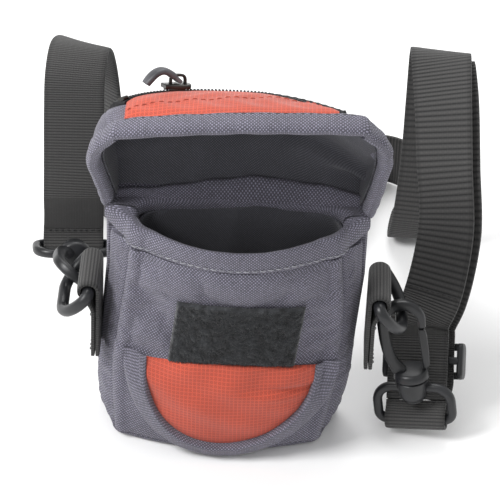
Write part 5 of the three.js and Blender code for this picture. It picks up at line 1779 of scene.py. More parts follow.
        def row(extra: float) -> Grid:
            """The lining's surface at an extra depth, from the left rim over the middle to the right rim.

            Args:
                extra: how much deeper than its face.

            Returns:
                The surface's points.
            """
            lines = []
            for side in (Side.LEFT, Side.RIGHT):
                inset = self.SIDE_FABRIC + 2 * self.GAP + extra
                corner = shape.side_edge(side, runs, inset, depth + extra)
                edge = shape.rim(side, runs) - np.array([side.value, 0, 0]) * (self.SIDE_FABRIC + 0.4 + extra)
                shares = np.linspace(0.96, 0.06, 14)
                fan = corner[:, None] + (edge - corner)[:, None] * shares[None, :, None]
                puff = 1.2 * np.sin(math.pi * runs)[:, None] * np.sin(math.pi * shares)[None]
                fan[..., 0] += side.value * puff
                lines.append(fan if side is Side.LEFT else fan[:, ::-1])
            w, run = np.meshgrid(np.linspace(-1, 1, 70), runs * shape.hem_start)
            crease = 0.5 * np.sin(w * 17 + 2 * np.sin(run * 0.11)) * (1 - w ** 4)
            x = w * (shape.half_at(run) - self.SIDE_FABRIC - 0.6 - extra)
            middle = shape.surface(x, run, depth + extra + np.maximum(crease, 0))
            return np.concatenate([lines[0], middle, lines[1]], 1)

        piece = shell_piece("lid_lining", row(0.0), row(0.5), LINING_CLOTH)
        settle(piece, Body.LID, LINING_CLOTH, "lid_lining")

    def root_strip(self) -> None:
        """The grey strip that carries the rear hem's cloth over the hinge to the lid's inside."""
        shape = self.shape
        x = np.linspace(-shape.hinge_half + 1.0, shape.hinge_half - 1.0, 120)
        top = np.pad(from_table(x, self.STRIP_TOP), 6, mode="edge")
        top = np.convolve(top, np.full(13, 1 / 13), mode="valid") + 0.2 * np.sin(x * 0.5)
        half = (top + self.STRIP_FOOT) / 2
        run, depth = half - self.STRIP_FOOT, shape.fabric + 1.1
        path = shape.surface(x, run, depth)
        first = unit(shape.surface(x, run + 1, depth) - path)

        def section(t: float) -> np.ndarray:
            """The strip's section, as broad as the strip is there."""
            return ellipse(float(np.interp(t, np.linspace(0, 1, 120), half)), self.STRIP_HALF, 26, 2.8)

        piece = rod_piece("lid_root_strip", sweep(path, first, section), GREY_CLOTH)
        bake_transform(piece)
        log.info("%s crosses the lid's hinge", piece.name)

    def hook_tape(self) -> None:
        """The hook tape inside the flap."""
        shape = self.shape
        end = shape.hem_start - 2 * self.GAP
        w, run = np.meshgrid(np.linspace(-1, 1, 60), np.linspace(end - self.TAPE_LENGTH, end, 34))
        depth = shape.fabric + self.GAP + 2 * self.LINING
        along = np.minimum(run - end + self.TAPE_LENGTH, end - run)
        edge = np.minimum(self.TAPE_HALF * (1 - np.abs(w)), along)
        x = w * self.TAPE_HALF
        face = shape.surface(x, run, depth + self.TAPE_THICK - 0.6 * rounded_edge(edge, 0.9))
        piece = shell_piece("hook_tape", shape.surface(x, run, depth), face, HOOK_PILE)
        settle(piece, Body.LID, HOOK_PILE, "hook_tape")

    def pocket_lift(self, x: Grid, up: Grid) -> Grid:
        """How high the orange panel's outer face stands over the flap: puffed between its zip and the hem.

        Args:
            x: places across, from the arc's centre.
            up: places up, from the arc's centre.

        Returns:
            The heights.
        """
        height = np.sqrt((self.ZIP_RADIUS - 2.0) ** 2 - x ** 2) - self.POCKET_FOOT
        share = np.clip((up - self.POCKET_FOOT) / height, 0, 1)
        puff = 1.3 * np.clip(height / 20, 0, 1) + 0.35 * np.sin(x * 0.5 + 2 * np.sin(up * 0.3))
        border = np.clip(np.minimum(share * height, self.POCKET_HALF + 0.5 - np.abs(x)) / 3, 0.05, 1)
        return self.GAP + 1.1 * np.sqrt(border) + puff * np.sin(math.pi * share)

    def pocket(self) -> None:
        """The orange pocket panel between the zip and the hem."""
        radius, foot = self.ZIP_RADIUS - 2.0, self.POCKET_FOOT
        half = min(self.POCKET_HALF, math.sqrt(radius ** 2 - foot ** 2) - self.GAP)
        x, share = np.meshgrid(np.linspace(-half, half, 100), np.linspace(0, 1, 40))
        up = foot + (np.sqrt(radius ** 2 - x ** 2) - foot) * share
        outer = self.shape.flap(x, up, self.pocket_lift(x, up))
        inner = self.shape.flap(x, up, self.GAP)
        piece = shell_piece("lid_pocket_panel", outer, inner, ORANGE_CLOTH)
        lay_flat(piece, self.shape.place.z)
        settle(piece, Body.LID, ORANGE_CLOTH, "lid_pocket_panel")
        across = np.linspace(1.5 - half, half - 6, 300)
        height = np.minimum(np.sqrt((radius - 7.0) ** 2 - across ** 2), foot + 12 + 0.2 * across)
        height = np.maximum(height, foot + 1.5)
        line = self.shape.flap(across, height, self.pocket_lift(across, height) + 0.1)
        lift = np.tile(self.shape.out, (300, 1))
        self.stitches.row("lid_pocket_stitches", [line], [lift], ORANGE_THREAD, 2.6, Body.LID)

    def on_arc(self, radius: Grid | float, degrees: Grid, lift: float) -> Grid:
        """Points of the flap at a radius and an angle from the top of the zip's arc."""
        angle = np.radians(degrees)
        return self.shape.flap(radius * np.sin(angle), radius * np.cos(angle), lift)

    def zip(self) -> None:
        """The zip's tape, its two rows of teeth and its stops."""
        radius, start, end, lift = self.ZIP_RADIUS, self.ZIP_START, self.ZIP_END, self.ZIP_LIFT
        reach, degrees = np.meshgrid(np.linspace(radius - 1.7, radius + 4.5, 14), np.linspace(start, end, 90))
        ridge = 0.8 + 2.9 * np.clip((degrees + 12) / (end + 12), 0, 1) ** 1.5
        ripple = 0.12 * np.sin(degrees * 1.9) + ridge * np.exp(-(((reach - radius - 2.7) / 1.3) ** 2))
        face, back = self.on_arc(reach, degrees, lift + ripple), self.on_arc(reach, degrees, self.GAP)
        tape = shell_piece("zip_tape", face, back, ZIP_TAPE_CLOTH)
        settle(tape, Body.LID, ZIP_TAPE_CLOTH, "zip_tape")
        clear = math.degrees((self.STOP_LENGTH + 0.5) / radius)
        rows = []
        for offset, lead in ((-0.62, 0.0), (0.62, 0.36)):
            angles = np.linspace(start + clear + lead, end - clear, 140)
            rows.append(self.on_arc(radius + offset, angles, lift - 0.15))
        lines = [(row, np.tile(self.shape.out, (140, 1))) for row in rows]
        chain = self.stitches.tree.run("zip_chain", lines, self.tooth_seed(), self.TOOTH_PITCH, ZIP_COIL)
        settle(chain, Body.LID, ZIP_COIL, "zip_chain")
        length = math.degrees(self.STOP_LENGTH / radius)
        last = end - math.degrees((self.STOP_LENGTH + 0.2) / radius)
        for name, first in (("zip_start_stop", start), ("zip_end_stop", last)):
            angles = np.linspace(first, first + length, 8)
            path = self.on_arc(radius, angles, lift + 0.9)
            outwards = self.on_arc(radius + 1, angles, lift + 0.9) - path
            rings = sweep(path, outwards, ellipse(1.45, 0.6, 16, 3.5))
            settle(rod_piece(name, rings, ZIP_METAL), Body.LID, ZIP_METAL, name)

    def tooth_seed(self) -> Piece:
        """One tooth of the zip, wider at its head."""
        shape = np.array([[-0.3, -0.85], [0.3, -0.85], [0.36, 0.5], [0.26, 0.8], [-0.26, 0.8], [-0.36, 0.5]])
        foot = np.concatenate([shape, np.zeros((6, 1))], 1)
        top = np.concatenate([shape * 0.8, np.full((6, 1), 1.0)], 1)
        return seed_piece("tooth_seed", np.stack([foot, foot + 0.7 * Z_AXIS, top]), ZIP_COIL)


def join_into(main: Piece, others: Sequence[Piece]) -> Piece:
    """Adds the meshes of some pieces to one and removes the pieces.

    Args:
        main: the piece that stays.
        others: pieces with the same material.

    Returns:
        The piece that stays.
    """
    bpy.ops.object.select_all(action="DESELECT")
    for piece in (main, *others):
        piece.select_set(True)
    bpy.context.view_layer.objects.active = main
    bpy.ops.object.join()
    return main


class ZipSlider:
    """The slider on the zip and its arched pull."""

    AXES = ((0.9205, 0.3541, -0.1651), (-0.3907, 0.8343, -0.3890), (0, 0.42262, 0.90631))
    SEAT, PULL = Place((-21.364, 16.795, 129.6), *AXES), Place((-21.364, 17.872, 131.9), *AXES)
    LENGTH, FRONT_HALF, REAR_HALF, THICK = 10.0, 3.9, 2.4, 1.5
    PIN_UP, REACH, RISE = 2.55, 11.0, 4.5

    def build(self) -> None:
        """Builds both pieces."""
        self.slider()
        self.pull()

    def slider(self) -> None:
        """The slider's body, flanges and bridge."""
        half = self.LENGTH / 2
        angles = np.linspace(0, math.pi, 15)
        nose = [(half - 3 + 2.4 * math.sin(a), self.FRONT_HALF * math.cos(a)) for a in angles]
        edge = [(-half, self.REAR_HALF), (-half + 2, self.REAR_HALF + 0.15), (0, 3.3)]
        outline = np.array([*edge, *nose, *[(x, -y) for x, y in edge[::-1]]])
        body = plate_rings(outline, 0.0, self.THICK, 0.4)
        piece = rod_piece("zip_slider", self.SEAT.put(body), ZIP_METAL)
        rise = ((-2.5, 1.2), (-2.5, 2.9), (-2.0, 3.9), (-0.8, 4.2))
        arch = np.array([(x, 0, z) for x, z in rise] + [(-x, 0, z) for x, z in rise[::-1]])
        bridge = sweep(smooth_route(arch, 24), Y_AXIS, ellipse(0.8, 0.5, 14, 3.0))
        others = [rod_piece("bridge", self.SEAT.put(bridge), ZIP_METAL)]
        for y in (-2.25, 2.25):
            flange = np.array([[-3.9, y, -0.35], [1.4, y, -0.35]])
            rings = sweep(flange, Y_AXIS, ellipse(0.35, 0.6, 12, 4.0))
            others.append(rod_piece("flange", self.SEAT.put(rings), ZIP_METAL))
        settle(join_into(piece, others), Body.SLIDER, ZIP_METAL, "zip_slider")

    def centreline(self, t: np.ndarray) -> np.ndarray:
        """The pull's arched middle line."""
        rise = self.RISE * np.sin(math.pi * t * 0.86) - self.PIN_UP * 0.9 * t - 0.6 * t ** 3
        return np.stack([-self.REACH * t, 0 * t, rise], -1)

    def pull(self) -> None:
        """The pull: two cheeks on a pin and a broad arched band."""

        def section(share: float) -> np.ndarray:
            """The band's section, drawn in at its free end."""
            return ellipse(2.6 - 0.5 * max(0.0, share - 0.86) / 0.14, 1.15, 20, 3.0)

        band = sweep(self.centreline(np.linspace(0.16, 1.0, 26)), Y_AXIS, section)
        piece = rod_piece("zip_pull", self.PULL.put(band), PULL_RUBBER)
        others = []
        for across in (-1.8, 1.8):
            line = self.centreline(np.linspace(-0.02, 0.24, 10)) + Y_AXIS * across
            cheek = sweep(line, Y_AXIS, ellipse(0.7, 0.72, 14, 2.6))
            others.append(rod_piece("cheek", self.PULL.put(cheek), PULL_RUBBER))
        pin = np.array([[0, -2.4, 0], [0, 2.4, 0]], float)
        rings = sweep(pin, Z_AXIS, ellipse(0.7, 0.7, 16))
        others.append(rod_piece("pin", self.PULL.put(rings), PULL_RUBBER))
        settle(join_into(piece, others), Body.PULL, PULL_RUBBER, "zip_pull")


def plate_rings(outline: np.ndarray, low: float, high: float, bevel: float) -> Grid:
    """Rings of a flat plate with rounded edges.

    Args:
        outline: its outline, as (x, y) points.
        low: its lower face.
        high: its upper face.
        bevel: the rounding of its edges.

    Returns:
        Rings from the lower face to the upper one.
    """
    before, after = np.roll(outline, 1, 0), np.roll(outline, -1, 0)
    along = unit(after - before)
    normal = np.stack([along[:, 1], -along[:, 0]], 1)
    middle = outline.mean(0)
    if np.sum(normal * (outline - middle)) < 0:
        normal = -normal
    rings = []
    for share in (0.0, 0.3, 0.7, 1.0):
        drawn = bevel * (1 - math.sin(share * math.pi / 2))
        rise = bevel * (1 - math.cos(share * math.pi / 2))
        flat = outline - normal * drawn
        rings.append(np.concatenate([flat, np.full((len(flat), 1), low + rise)], 1))
    top = [np.concatenate([r[:, :2], np.full((len(r), 1), high - (r[0, 2] - low))], 1) for r in rings]
    return np.array(rings + top[::-1])


@dataclass(frozen=True)
class RingSizes:
    """Sizes of a D-ring and the webbing tab that holds it."""

    rod: float = 2.0
    straight: float = 10.3
    corner: float = 2.5
    drop: float = 14.0
    tip_half: float = 4.5
    tab_width: float = 20.0
    tab_thickness: float = 1.5
    bore: float = 2.4
    tab_foot: float = -27.5


class SideTab:
    """One side's webbing tab and its D-ring."""

    OUT, DEEP, UP = 48.7, 5.5, 59.5
    PLACES = {
        Side.RIGHT: Place((OUT, DEEP, UP), (0, 1, 0), (-0.5736, 0, 0.8192), (0.8192, 0, 0.5736)),
        Side.LEFT: Place((-OUT, DEEP, UP), (0, 1, 0), (0.6428, 0, 0.7660), (0.7660, 0, -0.6428)),
    }

    def __init__(self, side: Side, sizes: RingSizes, stitches: Needle) -> None:
        """Keeps the side, the sizes and the stitcher."""
        self.side, self.sizes, self.stitches = side, sizes, stitches

    def build(self) -> None:
        """Builds the ring and the tab."""
        self.ring()
        self.tab()

    def ring(self) -> None:
        """The D-ring, a smooth moulded rod."""
        s = self.sizes
        half = s.straight + s.corner
        top = [(x, 0.0) for x in np.linspace(-s.straight, s.straight, 7)]
        corner = arc_points((s.straight, -s.corner), s.corner, (72.811, 4.056), 5)
        ends = np.array([
            [half, -s.corner], [half, -0.62 * s.drop], [s.tip_half + 4, -s.drop], [s.tip_half, -s.drop],
        ])
        right = [*corner, *map(tuple, bezier(ends, 12)), (0.0, -s.drop)]
        left = [(-x, y) for x, y in right[-2::-1]]
        flat = np.array([*top, *right, *left])
        line = evenly(np.concatenate([flat, flat[:1]]), 97)[:-1]
        path = np.concatenate([line, np.zeros((96, 1))], 1)
        rings = sweep(path, Z_AXIS, ellipse(s.rod, s.rod * 0.97, 18, 2.2), endless=True)
        name = f"{self.side.label}_ring"
        piece = rod_piece(name, self.PLACES[self.side].put(rings), BLACK_PLASTIC, endless=True)
        body = Body.RIGHT_RING if self.side is Side.RIGHT else Body.LEFT_RING
        settle(piece, body, BLACK_PLASTIC, name)

    def tab(self) -> None:
        """The tab: webbing folded round the ring's bar and sewn down the body's side."""
        s, sign = self.sizes, self.side.value
        wrap = s.bore + s.tab_thickness / 2
        seat = -(s.bore + s.tab_thickness) + s.tab_thickness / 2
        arc = arc_points((0, 0), wrap, (180, -52), 20)
        inner = [(seat, z) for z in np.linspace(s.tab_foot, -2, 14)]
        outer = [(seat + s.tab_thickness + 0.05, z) for z in np.linspace(-9.0, s.tab_foot, 12)]
        ease = [(0.2, -4.6), (seat + s.tab_thickness + 0.5, -7.4)]
        line = evenly(np.array([*inner, *arc, *ease, *outer]), 120)
        path = np.stack([sign * line[:, 0], 0 * line[:, 0], line[:, 1]], 1)
        path += np.array([sign * self.OUT, self.DEEP, self.UP])
        half = s.tab_width / 2
        rings = sweep(path, Y_AXIS, ellipse(half, s.tab_thickness / 2 - 0.02, 22, 7.0))
        name = f"{self.side.label}_tab"
        piece = webbing_piece(name, rings, line_length(path), s.tab_width)
        settle(piece, Body.POUCH, STRAP_WEBBING, name)
        face_x = sign * (self.OUT + seat + s.tab_thickness * 1.5 + 0.1)
        lines, lifts = [], []
        for z in (-10.5, s.tab_foot + 2.2):
            y = np.linspace(-half + 1.6, half - 1.6, 12)
            lines.append(np.stack([np.full(12, face_x), y + self.DEEP, np.full(12, z + self.UP)], 1))
            lifts.append(np.tile(sign * X_AXIS, (12, 1)))
        self.stitches.row(f"{name}_stitches", lines, lifts, DARK_THREAD, 2.0)


def webbing_piece(name: str, rings: Grid, run: float, width: float) -> Piece:
    """A piece of webbing from rings whose section is wide and flat, with flat coordinates for its ribs.

    Args:
        name: the piece's name.
        rings: its rings of points.
        run: its length.
        width: its width.

    Returns:
        The piece.
    """
    piece = rod_piece(name, rings, STRAP_WEBBING)
    middle = rings.mean(1, keepdims=True)
    across = unit(rings[:, :1] + rings[:, -1:] - 2 * middle)
    offset = np.sum((rings - middle) * across, -1) + width / 2
    along = np.linspace(0, run, len(rings))[:, None] + 0 * offset
    write_cloth(piece.data, np.stack([offset.ravel(), along.ravel()], 1) * MM)
    return piece


@dataclass(frozen=True)
class HookSizes:
    """Sizes of a swivel snap hook, measured from the middle of its flange."""

    crook_radius: float = 6.6
    crook_across: float = -1.4
    crook_up: float = 20.6
    crook_half: float = 1.9
    nose_half: float = 1.3
    nose_length: float = 2.2
    spine_across: float = -3.6
    thickness: float = 3.6
    gate_width: float = 2.4
    gate_across: float = 5.4
    gate_thickness: float = 3.0
    flange_radius: float = 6.2
    flange_half: float = 1.6
    barrel_top: float = 5.8
    barrel_foot: float = 4.6
    barrel_length: float = 7.5
    stem: float = 1.9
    stem_clear: float = 0.4
    head: float = 3.3
    head_thickness: float = 1.5
    loop_rod: float = 1.65
    loop_half: float = 12.9
    loop_corner: float = 5.8
    foot_corner: float = 3.2
    bar_below: float = 19.0
    loop_height: float = 13.2
    gap: float = 0.3

    @property
    def barrel_start(self) -> float:
        """Height of the barrel's upper end."""
        return -self.flange_half - self.gap


class SnapHook:
    """One side's swivel snap hook: its crook, gate and swivel loop."""

    RIGHT_SWIVEL, RIGHT_STEM = (61.539, 2.401, 25.865), (-0.1499, 0.1369, 0.9792)
    LEFT_SWIVEL, LEFT_STEM = (-56.144, 35.164, 42.711), (0.1104, -0.9135, 0.3915)
    HOOKS = {
        Side.RIGHT: Place(RIGHT_SWIVEL, (0.9887, 0.0208, 0.1484), RIGHT_STEM, (0.0, -0.9904, 0.1384)),
        Side.LEFT: Place(LEFT_SWIVEL, (0.7957, -0.1548, -0.5856), LEFT_STEM, (-0.5956, -0.3762, -0.7098)),
    }
    LOOPS = {
        Side.RIGHT: Place(RIGHT_SWIVEL, (0.9671, -0.1856, 0.1740), RIGHT_STEM, (-0.2056, -0.9730, 0.1046)),
        Side.LEFT: Place(LEFT_SWIVEL, (0.9937, 0.1096, -0.0245), LEFT_STEM, (0.0205, -0.3917, -0.9198)),
    }

    def __init__(self, side: Side, sizes: HookSizes) -> None:
        """Keeps the side and the sizes."""
        self.side, self.sizes = side, sizes

    def build(self) -> None:
        """Builds the hook's three pieces."""
        self.hook()
        self.gate()
        self.swivel_loop()

    def body(self, part: str) -> Body:
        """The body of one of this side's moving parts."""
        return Body(f"{self.side.label}_{part}_body")

    def crook_path(self) -> np.ndarray:
        """The hook's centreline, across and up."""
        s = self.sizes
        left = s.crook_across - s.crook_radius
        ends = np.array([[s.spine_across, 1.0], [s.spine_across - 3, 5.6], [left, 9.5], [left, s.crook_up]])
        spine = bezier(ends, 16)[:-1]
        arc = arc_points((s.crook_across, s.crook_up), s.crook_radius, (180, 0), 26)
        nose = (s.crook_across + s.crook_radius, s.crook_up - s.nose_length)
        return evenly(np.array([*map(tuple, spine), *arc, nose]), 64)

    def hook(self) -> None:
        """The crook, flange, stem and head, in one piece."""
        s = self.sizes
        flat = self.crook_path()
        path = np.concatenate([flat, np.zeros((len(flat), 1))], 1)
        tangent = unit(np.gradient(path, axis=0))
        across = np.stack([-tangent[:, 1], tangent[:, 0], 0 * tangent[:, 0]], 1)

        def section(t: float) -> np.ndarray:
            """A rounded box, broader at the foot and slimmer at the nose."""
            broader, slimmer = max(0.0, 1 - t / 0.12), max(0.0, t - 0.75) / 0.25
            half = s.crook_half + 0.5 * broader - (s.crook_half - s.nose_half) * slimmer
            return ellipse(half, s.thickness / 2, 24, 3.2)

        place = self.HOOKS[self.side]
        name = f"{self.side.label}_hook"
        piece = rod_piece(name, place.put(sweep(path, across, section)), BLACK_PLASTIC)
        head_top = s.barrel_start - s.barrel_length - s.gap
        turned = [
            (s.flange_radius - 1.4, s.flange_half), (s.flange_radius - 0.8, s.flange_half - 0.25),
            (s.flange_radius - 0.35, s.flange_half - 0.9), (s.flange_radius, -s.flange_half + 0.7),
            (s.flange_radius - 0.1, -s.flange_half + 0.2), (s.flange_radius - 0.6, -s.flange_half),
            (s.stem, -s.flange_half - 0.02), (s.stem, head_top + 0.02), (s.head - 0.3, head_top),
            (s.head, head_top - 0.35), (s.head, head_top - s.head_thickness + 0.4),
            (s.head - 0.5, head_top - s.head_thickness),
        ]
        others = [rod_piece("turned", place.put(lathe(turned)), BLACK_PLASTIC)]
        lug = np.array([
            [s.gate_across - 1.2, s.flange_half - 0.3, 0], [s.gate_across - 1.5, s.flange_half - 0.02, 0],
        ])
        rings = sweep(lug, X_AXIS, ellipse(1.0, 1.0, 12))
        others.append(rod_piece("lug", place.put(rings), BLACK_PLASTIC))
        settle(join_into(piece, others), self.body("hook"), BLACK_PLASTIC, name)

    def gate(self) -> None:
        """The sprung gate, a slim bar with a thumb rib."""
        s = self.sizes
        foot = s.flange_half + s.gap
        top = s.crook_up - s.nose_length - 0.6 - s.gap
        nose = s.crook_across + s.crook_radius
        inner, outer = s.gate_across - s.gate_width / 2, s.gate_across + s.gate_width / 2
        near, far = nose - s.nose_half, nose + s.nose_half
        outline = np.array([
            (inner, foot), (outer - 1, foot), (outer, foot + 1.4), (outer + 0.1, foot + 5.5),
            (far + 0.1, top - 3.5), (far - 0.3, top - 1), (far - 0.8, top), (near, top),
            (near - 0.1, top - 3), (inner - 0.1, foot + 5),
        ])
        rings = plate_rings(outline, -s.gate_thickness / 2, s.gate_thickness / 2, 0.45)
        name = f"{self.side.label}_gate"
        place = self.HOOKS[self.side]
        settle(rod_piece(name, place.put(rings), BLACK_PLASTIC), self.body("gate"), BLACK_PLASTIC, name)

    def swivel_loop(self) -> None:
        """The loop that the webbing is sewn on, with the barrel that the stem turns in."""
        s = self.sizes
        top, foot = -s.bar_below + s.loop_height, -s.bar_below
        foot_half, top_half = s.loop_half - s.foot_corner, s.loop_half - s.loop_corner
        low, high = foot + s.foot_corner, top - s.loop_corner
        flat = np.array([
            (0.0, foot), *arc_points((foot_half, low), s.foot_corner, (-90, 0), 9),
            *arc_points((top_half, high), s.loop_corner, (0, 90), 9),
            *arc_points((-top_half, high), s.loop_corner, (90, 180), 9),
            *arc_points((-foot_half, low), s.foot_corner, (180, 270), 9), (0.0, foot),
        ])
        line = evenly(flat, 121)[:-1]
        path = np.concatenate([line, np.zeros((120, 1))], 1)
        rings = sweep(path, Z_AXIS, ellipse(s.loop_rod, s.loop_rod * 0.98, 18, 2.3), endless=True)
        place = self.LOOPS[self.side]
        name = f"{self.side.label}_swivel_loop"
        piece = rod_piece(name, place.put(rings), BLACK_PLASTIC, endless=True)
        high, low = s.barrel_start, s.barrel_start - s.barrel_length
        bore = s.stem + s.stem_clear
        wall = [
            (bore, high), (s.barrel_top - 0.5, high), (s.barrel_top, high - 0.5),
            (s.barrel_top - 0.2, high - 2.2), (s.barrel_foot + 0.25, low + 1.2), (s.barrel_foot, low + 0.4),
            (s.barrel_foot - 0.4, low), (bore, low),
        ]
        barrel = rod_piece("barrel", place.put(lathe(wall)), BLACK_PLASTIC, endless=True)
        settle(join_into(piece, [barrel]), Body.POUCH, BLACK_PLASTIC, name)


def lathe(profile: Sequence[tuple[float, float]], sides: int = 40) -> Grid:
    """Rings of a turned shape about Y.

    Args:
        profile: (radius, height) points.
        sides: points of a ring.

    Returns:
        A ring for each point of the profile.
    """
    angle = np.linspace(0, 2 * math.pi, sides, endpoint=False)
    return np.array([
        np.stack([radius * np.cos(angle), np.full(sides, height), radius * np.sin(angle)], 1)
        for radius, height in profile
    ])


@dataclass(frozen=True)
class StrapStart:
    """Where a strap leaves its hook: the loop's bar, the way along, out of its face and across."""

    bar: Triple
    along: Triple
    face: Triple
    across: Triple

    def at(self, run: float, off: float, shift: float = 0.0) -> np.ndarray:
        """A point at a run along the strap, off its face and shifted across."""
        axes = np.array([self.along, self.face, self.across])
        return np.array(self.bar) + np.array([run, off, shift]) @ axes


RouteKnot = tuple[Triple, Triple]


@dataclass(frozen=True)
class StrapSizes:
    """Sizes of the webbing, its sewn ends, the adjuster and the coil."""

    width: float = 21.0
    thickness: float = 1.6
    gap: float = 0.3
    tail: float = 6.5
    taper: float = 5.5
    adjuster_along: float = 20.5
    adjuster_length: float = 12.5
    straight: float = 6.0
    ease: float = 4.0
    shift: float = 1.2
    coil_x: float = -4.0
    coil_y: float = 104.0
    coil_inner: float = 10.0
    coil_outer: float = 34.0
    coil_pitch: float = 9.0
    coil_lead: float = 8.0
    coil_lift: float = 0.2
    coil_exit: float = 135.0
    glide_clear: float = 0.4
    bar_depth: float = 2.2
    bar_half: float = 1.3
    rail_half: float = 1.25
    rail_clear: float = 1.3

    @property
    def layer(self) -> float:
        """How far each of two sewn layers lies off the bar's line."""
        return self.thickness / 2 + self.gap / 2


class Strap:
    """The long webbing strap: two free lengths, the coil between them, sewn ends and the adjuster."""

    ROW_ALONG = 37.0
    STARTS = {
        Side.RIGHT: StrapStart(
            (64.387, -0.200, 7.261), (-0.0038, 0.6733, 0.7394), (-0.2544, -0.7157, 0.6504),
            (0.9671, -0.1856, 0.1740),
        ),
        Side.LEFT: StrapStart(
            (-58.242, 52.521, 35.273), (-0.0036, 0.2492, 0.9685), (0.1123, -0.9622, 0.2480),
            (0.9937, 0.1096, -0.0245),
        ),
    }
    ROUTES: dict[Side, tuple[RouteKnot, ...]] = {
        Side.RIGHT: (
            ((68, 28.5, 38.5), (0.93, -0.27, 0.24)), ((71.6, 42, 57.5), (0.88, -0.35, 0.3)),
            ((70, 57, 76), (0.88, -0.35, 0.3)), ((68.4, 71, 93), (0.9, -0.3, 0.25)),
            ((67.4, 84, 101), (0.94, -0.25, 0.1)), ((67.4, 96, 93), (0.97, -0.12, 0)),
            ((67.6, 101, 70), (1, 0, 0)), ((67.4, 101, 40), (1, 0, 0)), ((66, 101, 16), (1, 0, 0)),
            ((65, 106, 5), (1, 0, 0.02)), ((65.5, 118, 6.4), (0.92, 0, 0.38)),
            ((66, 130, 10.8), (0.5, 0, 0.85)), ((60, 142, 11.6), (0.05, 0, 1)), ((47, 145, 11), (0, 0, 1)),
        ),
        Side.LEFT: (
            ((-58.5, 57, 52), (1, 0, 0)), ((-58.8, 62, 67), (1, 0, 0)), ((-59.2, 68, 82), (1, 0.02, 0)),
            ((-59.4, 75.2, 92), (0.99, 0.05, 0)), ((-58.6, 86, 96.4), (0.95, -0.15, 0)),
            ((-56.4, 96, 89.5), (0.85, -0.4, -0.05)), ((-53.5, 101, 73), (0.78, -0.6, 0)),
            ((-51.5, 103.5, 45), (0.74, -0.67, 0)), ((-50.5, 104.5, 18), (0.72, -0.7, 0)),
            ((-48.5, 107, 5.6), (0.72, -0.68, 0.02)), ((-41, 115, 10.2), (0.5, -0.48, 0.7)),
        ),
    }

    def __init__(self, sizes: StrapSizes, stitches: Needle) -> None:
        """Keeps the sizes and the stitcher."""
        self.sizes, self.stitches = sizes, stitches

    def build(self) -> None:
        """Builds the free lengths and the coil first, then what they pass through."""
        s = self.sizes
        coil = self.coil_line()
        right_run = s.adjuster_along + s.adjuster_length / 2 + s.straight
        right = self.free_length(Side.RIGHT, right_run, coil[-1], coil[-2])
        left = self.free_length(Side.LEFT, s.tail + s.straight, coil[0], coil[1])
        middle = smooth_route(coil, 620)
        wound = np.concatenate([middle, np.tile(Z_AXIS, (len(middle), 1))], 1)
        line = np.concatenate([right[:-1], wound[::-1], left[-2::-1]])
        strap = self.ribbon("carrying_strap", line[:, :3], line[:, 3:])
        sewn = [self.return_layer(), *[self.sewn_loop(side) for side in Side], self.tri_glide()]
        sewn.append(self.cross_stitches(right))
        self.declare(strap)

    def ribbon(self, name: str, centres: np.ndarray, widths: np.ndarray) -> Piece:
        """A flat strap along centre points, each with the direction of its width."""
        s = self.sizes
        rings = sweep(centres, widths, ellipse(s.width / 2, s.thickness / 2, 22, 7.0))
        return webbing_piece(name, rings, line_length(centres), s.width)

    def free_length(self, side: Side, straight: float, coil_end: np.ndarray,
                    coil_before: np.ndarray) -> np.ndarray:
        """One side's free length, from its sewn end to the coil.

        Args:
            side: the side.
            straight: how far it runs straight from the bar.
            coil_end: the coil's end.
            coil_before: the point before it.

        Returns:
            Its centreline and, beside it, the directions of its width.
        """
        s = self.sizes
        start = self.STARTS[side]
        first, last = s.tail + s.gap, straight - s.ease
        runs = [first, *([(first + last) / 2, last] if last - first > 2 else []), straight]
        way = unit(coil_end - coil_before)
        places = [start.at(run, s.layer) for run in runs]
        places += [place for place, _ in self.ROUTES[side]]
        places += [coil_end + way * s.coil_lead, coil_end + way * s.gap]
        widths = [start.across] * len(runs) + [width for _, width in self.ROUTES[side]] + [Z_AXIS] * 2
        return np.concatenate([smooth_route(np.array(knots, float), 260) for knots in (places, widths)], 1)

    def declare(self, strap: Piece) -> None:
        """Hangs the strap on the pouch and hides the CAD nodes of its two lengths and its coil.

        Args:
            strap: the strap.
        """
        settle(strap, Body.POUCH, STRAP_WEBBING, "strap_right", "strap_coil", "strap_left")

    def coil_line(self) -> np.ndarray:
        """The coil's centreline: two arms wound together and the bend between them."""
        s = self.sizes
        height = s.width / 2 + s.coil_lift
        growth = s.coil_pitch / math.pi
        total = (s.coil_outer - s.coil_inner) / growth
        phase = math.radians(s.coil_exit) - total

        def arm(start: float) -> np.ndarray:
            """One arm, from its inner end outwards.

            Args:
                start: the angle at which it begins.

            Returns:
                Its points.
            """
            turn = np.linspace(0, total, 35)
            radius = s.coil_inner + growth * turn
            return np.stack([
                s.coil_x + radius * np.cos(start + turn), s.coil_y + radius * np.sin(start + turn),
                np.full(35, height),
            ], 1)

        middle = np.array([s.coil_x, s.coil_y, height])

        def bend(inner: np.ndarray, start: float) -> np.ndarray:
            """Half of the bend in the middle."""
            centre = (middle + inner) / 2
            angle = start - math.pi * np.arange(1, 5) / 5
            turned = np.stack([np.cos(angle), np.sin(angle), np.zeros(4)], 1)
            return centre + s.coil_inner / 2 * turned

        left, right = arm(phase), arm(phase + math.pi)
        return np.concatenate([
            left[::-1], bend(left[0], phase), middle[None], bend(right[0], phase + math.pi)[::-1], right,
        ])

    def offsets(self) -> tuple[float, float]:
        """How far off the bar's line the adjuster's front and the returning layer lie."""
        s = self.sizes
        return -s.glide_clear, -s.glide_clear - s.bar_depth - s.glide_clear - s.thickness / 2

